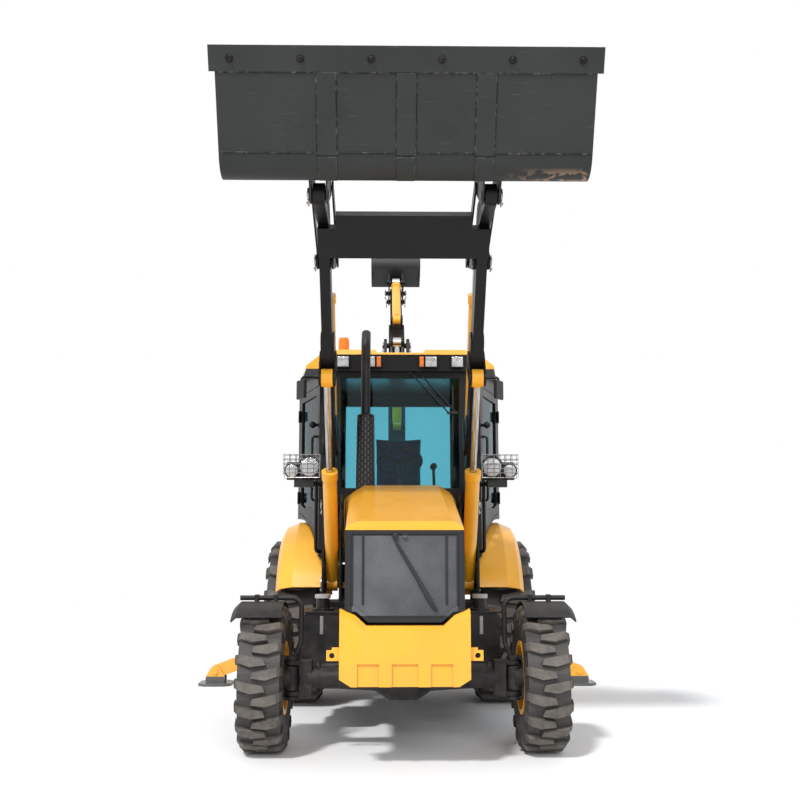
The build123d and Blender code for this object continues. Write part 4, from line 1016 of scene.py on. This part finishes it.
class BACKHOE_OT_add_wipers(bpy.types.Operator):
    """One parallel-arm wiper hung from the windscreen's header"""
    bl_idname = "backhoe.add_wipers"
    bl_label = "Add the wipers"

    def execute(self, context):
        glass = at(WINDSCREEN)
        parts = []
        for x0, x1 in ((0.085, 0.415), (0.160, 0.480)):
            parts.append(bar((x0, glass - 0.028, 2.838), (x1, glass - 0.014, 2.490), 0.0065))
            collar = drum(0.017, 0.024, (x0, glass - 0.028, 2.834), axis="Y", sides=20)
            parts.append(step_face(collar, "Y", -1, 0.005, 0.004, 0.0015, 1))
        bridge = box_between((0.400, glass - 0.022, 2.478), (0.492, glass - 0.008, 2.500))
        blade = box_between((0.444, glass - 0.010, 2.250), (0.456, glass, 2.730))
        parts += [step_face(bridge, "Y", -1, 0.004, 0.003, 0.002, 1),
                  step_face(blade, "Y", 1, 0.004, 0.004, 0.0015, 1)]
        wiper = tidy(joined(parts, "windscreen_wiper"))
        finish_piece(wiper, "chassis", "black_plastic")
        return {"FINISHED"}


class BACKHOE_OT_add_grille_trim(bpy.types.Operator):
    """Upright strips beside the grille's mesh, and a tapered dark band hung from its catch that is a painted
    shadow across the grille
    """
    bl_idname = "backhoe.add_grille_trim"
    bl_label = "Add the grille's trim"

    def execute(self, context):
        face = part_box("grille")[0][1] + 0.017
        strips = []
        for x in (-0.332, -0.262, 0.262, 0.332):
            strip = box_between((x - 0.007, face - 0.006, 1.012), (x + 0.007, face + 0.001, 1.448))
            strips.append(step_face(strip, "Y", -1, 0.003, 0.002, 0.001, 1))
        # self.strap gives the dark band that is a painted shadow on the grille
        for trim in (tidy(joined(strips, "grille_strips")), self.strap(face)):
            finish_piece(trim, "hood", "black_plastic")
        return {"FINISHED"}

    def strap(self, face):
        """The tapered dark band, a painted shadow across the grille, and the ring of its catch."""
        # X, Z and half width of the painted shadow band's stations from the catch downwards
        stations = ((-0.075, 1.440, 0.008), (-0.045, 1.385, 0.010), (0.006, 1.300, 0.013),
                    (0.080, 1.175, 0.015), (0.150, 1.052, 0.019), (0.196, 0.975, 0.014))
        strap = box_between((-0.083, face - 0.020, 1.440), (-0.067, face - 0.012, 1.446))
        for (x0, z0, half0), (x1, z1, half1) in zip(stations, stations[1:]):
            with editing(strap, lambda spot, way: spot.z < z0 + 0.004 and way.z < -0.5):
                bpy.ops.mesh.extrude_region_move(
                    TRANSFORM_OT_translate={"value": (x1 - x0, 0, z1 - z0)})
                bpy.ops.transform.resize(value=(half1 / half0, 1, 1))
        ring = drum(0.019, 0.012, (-0.060, face - 0.017, 1.438), axis="Y")
        step_face(ring, "Y", -1, 0.006, 0.003, 0.002)
        return joined([bevelled(tidy(strap), 0.002), ring], "grille_shadow_band")


class BACKHOE_OT_add_tank_latches(bpy.types.Operator):
    """Studded latch straps on the front of the side tanks"""
    bl_idname = "backhoe.add_tank_latches"
    bl_label = "Add the tanks' latches"

    def execute(self, context):
        front = at(TANK_FRONT)
        strap = box_between((0.585, front - 0.005, 0.715), (0.612, front, 0.850))
        with editing(strap):
            bpy.ops.mesh.subdivide(number_cuts=1)
        parts = [step_face(strap, "Y", -1, 0.003, 0.002, 0.001, 1)]
        for i in range(5):
            stud = (0.5985, front - 0.008, 0.730 + i * 0.026)
            parts.append(drum(0.005, 0.004, stud, axis="Y", sides=12))
        latch = both_sides(joined(parts, "latch"), "tank_latches")
        finish_piece(latch, "chassis", "bare_steel")
        return {"FINISHED"}


class BACKHOE_OT_add_step_treads(bpy.types.Operator):
    """Toothed tread strips on the cab steps"""
    bl_idname = "backhoe.add_step_treads"
    bl_label = "Add the step treads"

    def execute(self, context):
        tooth = box_between((-0.006, -0.006, 0), (0.006, 0.006, 0.009))
        step_face(tooth, "Z", 1, 0.003, 0.003)
        places = [Matrix.Translation((0.420 + column * 0.040, at(1.145 + row * 0.029), z))
                  for z in (0.440, 0.600) for row in range(9) for column in range(8)]
        treads = both_sides(copies(tooth, places, "teeth"), "step_treads")
        finish_piece(treads, "chassis", "bare_steel", 0)
        return {"FINISHED"}


class BACKHOE_OT_add_hinges(bpy.types.Operator):
    """Hinge knuckles and leaves on the rear edge of each door"""
    bl_idname = "backhoe.add_hinges"
    bl_label = "Add the door hinges"

    def execute(self, context):
        for side, sign in (("left", 1), ("right", -1)):
            x, y, _ = joint_place(f"door_{side}")
            parts = []
            for z in (1.80, 2.55):
                knuckle = drum(0.011, 0.11, (x, y, z), sides=16)
                for end in (-1, 1):
                    step_face(knuckle, "Z", end, 0.003, 0)
                leaf = box_between((x - sign * 0.004, y - 0.055, z - 0.045),
                                   (x + sign * 0.005, y, z + 0.045))
                parts += [bevelled(knuckle, 0.002), bevelled(leaf, 0.002, 1)]
            hinge = tidy(joined(parts, f"door_hinges_{side}"))
            finish_piece(hinge, f"door_{side}", "black_plastic")
        return {"FINISHED"}


# ---- stage ----
CAMERA_X = -0.12
CAMERA_AHEAD = 7.10  # in front of the front axle
CAMERA_HEIGHT = 1.40
CAMERA_UP = 8.0  # degrees
CAMERA_TURN = -0.80
LENS = 45.45  # millimetres
PALE_REACH = (3.0, 9.0)  # the floor fades to white between these distances
SUNS = (("sun_key", 2.5, (42, 0, -26), 0.10), ("sun_front", 0.9, (62, 0, 12), 0.5))


class BACKHOE_OT_add_stage(bpy.types.Operator):
    """Floor, daylight, background and camera"""
    bl_idname = "backhoe.add_stage"
    bl_label = "Add the stage"

    def execute(self, context):
        scene = context.scene
        bpy.ops.mesh.primitive_plane_add(size=60, location=(0, 0, -0.0005))
        floor = settle(bpy.context.object, "floor")
        floor.data.materials.append(self.floor_material())
        self.world(scene)
        for name, strength, turn, spread in SUNS:
            light = bpy.data.lights.new(name, "SUN")
            light.energy = strength
            light.angle = spread
            self.stand(scene, light, (0, 0, 0), turn)
        eye = bpy.data.cameras.new("camera")
        eye.lens = LENS
        eye.sensor_width = 36.0
        place = (CAMERA_X, at(-CAMERA_AHEAD), CAMERA_HEIGHT)
        scene.camera = self.stand(scene, eye, place, (90 + CAMERA_UP, 0, CAMERA_TURN))
        scene.view_settings.view_transform = "Standard"
        return {"FINISHED"}

    def stand(self, scene, data, place, turn):
        """Put a lamp or a camera into the scene, turned by degrees."""
        obj = bpy.data.objects.new(data.name, data)
        scene.collection.objects.link(obj)
        obj.location = place
        obj.rotation_euler = [radians(angle) for angle in turn]
        return obj

    def floor_material(self):
        """Pale ground near the machine that fades to white further off."""
        material = bpy.data.materials.new("floor")
        material.use_nodes = True
        tree = material.node_tree
        shader = tree.nodes["Principled BSDF"]
        place = object_place(tree)
        far = ramp(vector_maths("LENGTH", place, output="Value"), *PALE_REACH)
        speckle = ramp(noise(place, 60.0, 5.0), 0.3, 0.7)
        tone = mix_colour(speckle, (0.86, 0.86, 0.86), (0.90, 0.90, 0.90))
        feed(shader.inputs["Base Color"], tone)
        feed(shader.inputs["Roughness"], 0.9)
        white = node(tree, "ShaderNodeEmission", {"Color": (1, 1, 1), "Strength": 1.0})
        surface = mix_shader(far, Value(shader.outputs[0]), white)
        feed(tree.nodes["Material Output"].inputs["Surface"], surface)
        return material

    def world(self, scene):
        """Soft daylight, seen as plain white by the camera, metal and glass."""
        world = bpy.data.worlds.new("daylight")
        world.use_nodes = True
        tree = world.node_tree
        soft = tree.nodes["Background"]
        feed(soft.inputs["Color"], (0.93, 0.96, 1.0))
        feed(soft.inputs["Strength"], 0.66)
        white = node(tree, "ShaderNodeBackground", {"Color": (1, 1, 1), "Strength": 1.0})
        camera, metal, glass = [
            node(tree, "ShaderNodeLightPath", output=f"Is {kind} Ray")
            for kind in ("Camera", "Glossy", "Transmission")]
        seen = maths("MAXIMUM", maths("MAXIMUM", camera, metal), glass)
        surface = mix_shader(seen, Value(soft.outputs[0]), white)
        feed(tree.nodes["World Output"].inputs["Surface"], surface)
        scene.world = world


OPERATORS = (
    BACKHOE_OT_finish_nodes, BACKHOE_OT_add_seat, BACKHOE_OT_add_lamps, BACKHOE_OT_add_wheel_nuts,
    BACKHOE_OT_add_bucket_fittings, BACKHOE_OT_add_pins, BACKHOE_OT_add_wipers,
    BACKHOE_OT_add_grille_trim, BACKHOE_OT_add_tank_latches, BACKHOE_OT_add_step_treads,
    BACKHOE_OT_add_hinges, BACKHOE_OT_add_stage,
)


class BACKHOE_PT_panel(bpy.types.Panel):
    """The backhoe loader's settings and steps"""
    bl_idname = "BACKHOE_PT_panel"
    bl_label = "Backhoe loader"
    bl_space_type = "VIEW_3D"
    bl_region_type = "UI"
    bl_category = "Backhoe"

    def draw(self, context):
        layout = self.layout
        for settings in (context.scene.backhoe_sizes, context.scene.backhoe_colours):
            column = layout.column()
            for name in settings.__annotations__:
                column.prop(settings, name)
        for operator in OPERATORS:
            layout.operator(operator.bl_idname)


CLASSES = (BackhoeSizes, BackhoeColours, *OPERATORS, BACKHOE_PT_panel)


def register():
    for cls in CLASSES:
        bpy.utils.register_class(cls)
    bpy.types.Scene.backhoe_sizes = bpy.props.PointerProperty(type=BackhoeSizes)
    bpy.types.Scene.backhoe_colours = bpy.props.PointerProperty(type=BackhoeColours)


def unregister():
    del bpy.types.Scene.backhoe_colours
    del bpy.types.Scene.backhoe_sizes
    for cls in reversed(CLASSES):
        bpy.utils.unregister_class(cls)


def main():
    register()
    bpy.ops.backhoe.finish_nodes()
    bpy.ops.backhoe.add_seat()
    bpy.ops.backhoe.add_lamps()
    bpy.ops.backhoe.add_wheel_nuts()
    bpy.ops.backhoe.add_bucket_fittings()
    bpy.ops.backhoe.add_pins()
    bpy.ops.backhoe.add_wipers()
    bpy.ops.backhoe.add_grille_trim()
    bpy.ops.backhoe.add_tank_latches()
    bpy.ops.backhoe.add_step_treads()
    bpy.ops.backhoe.add_hinges()
    bpy.ops.backhoe.add_stage()


if __name__ == "__main__":
    main()
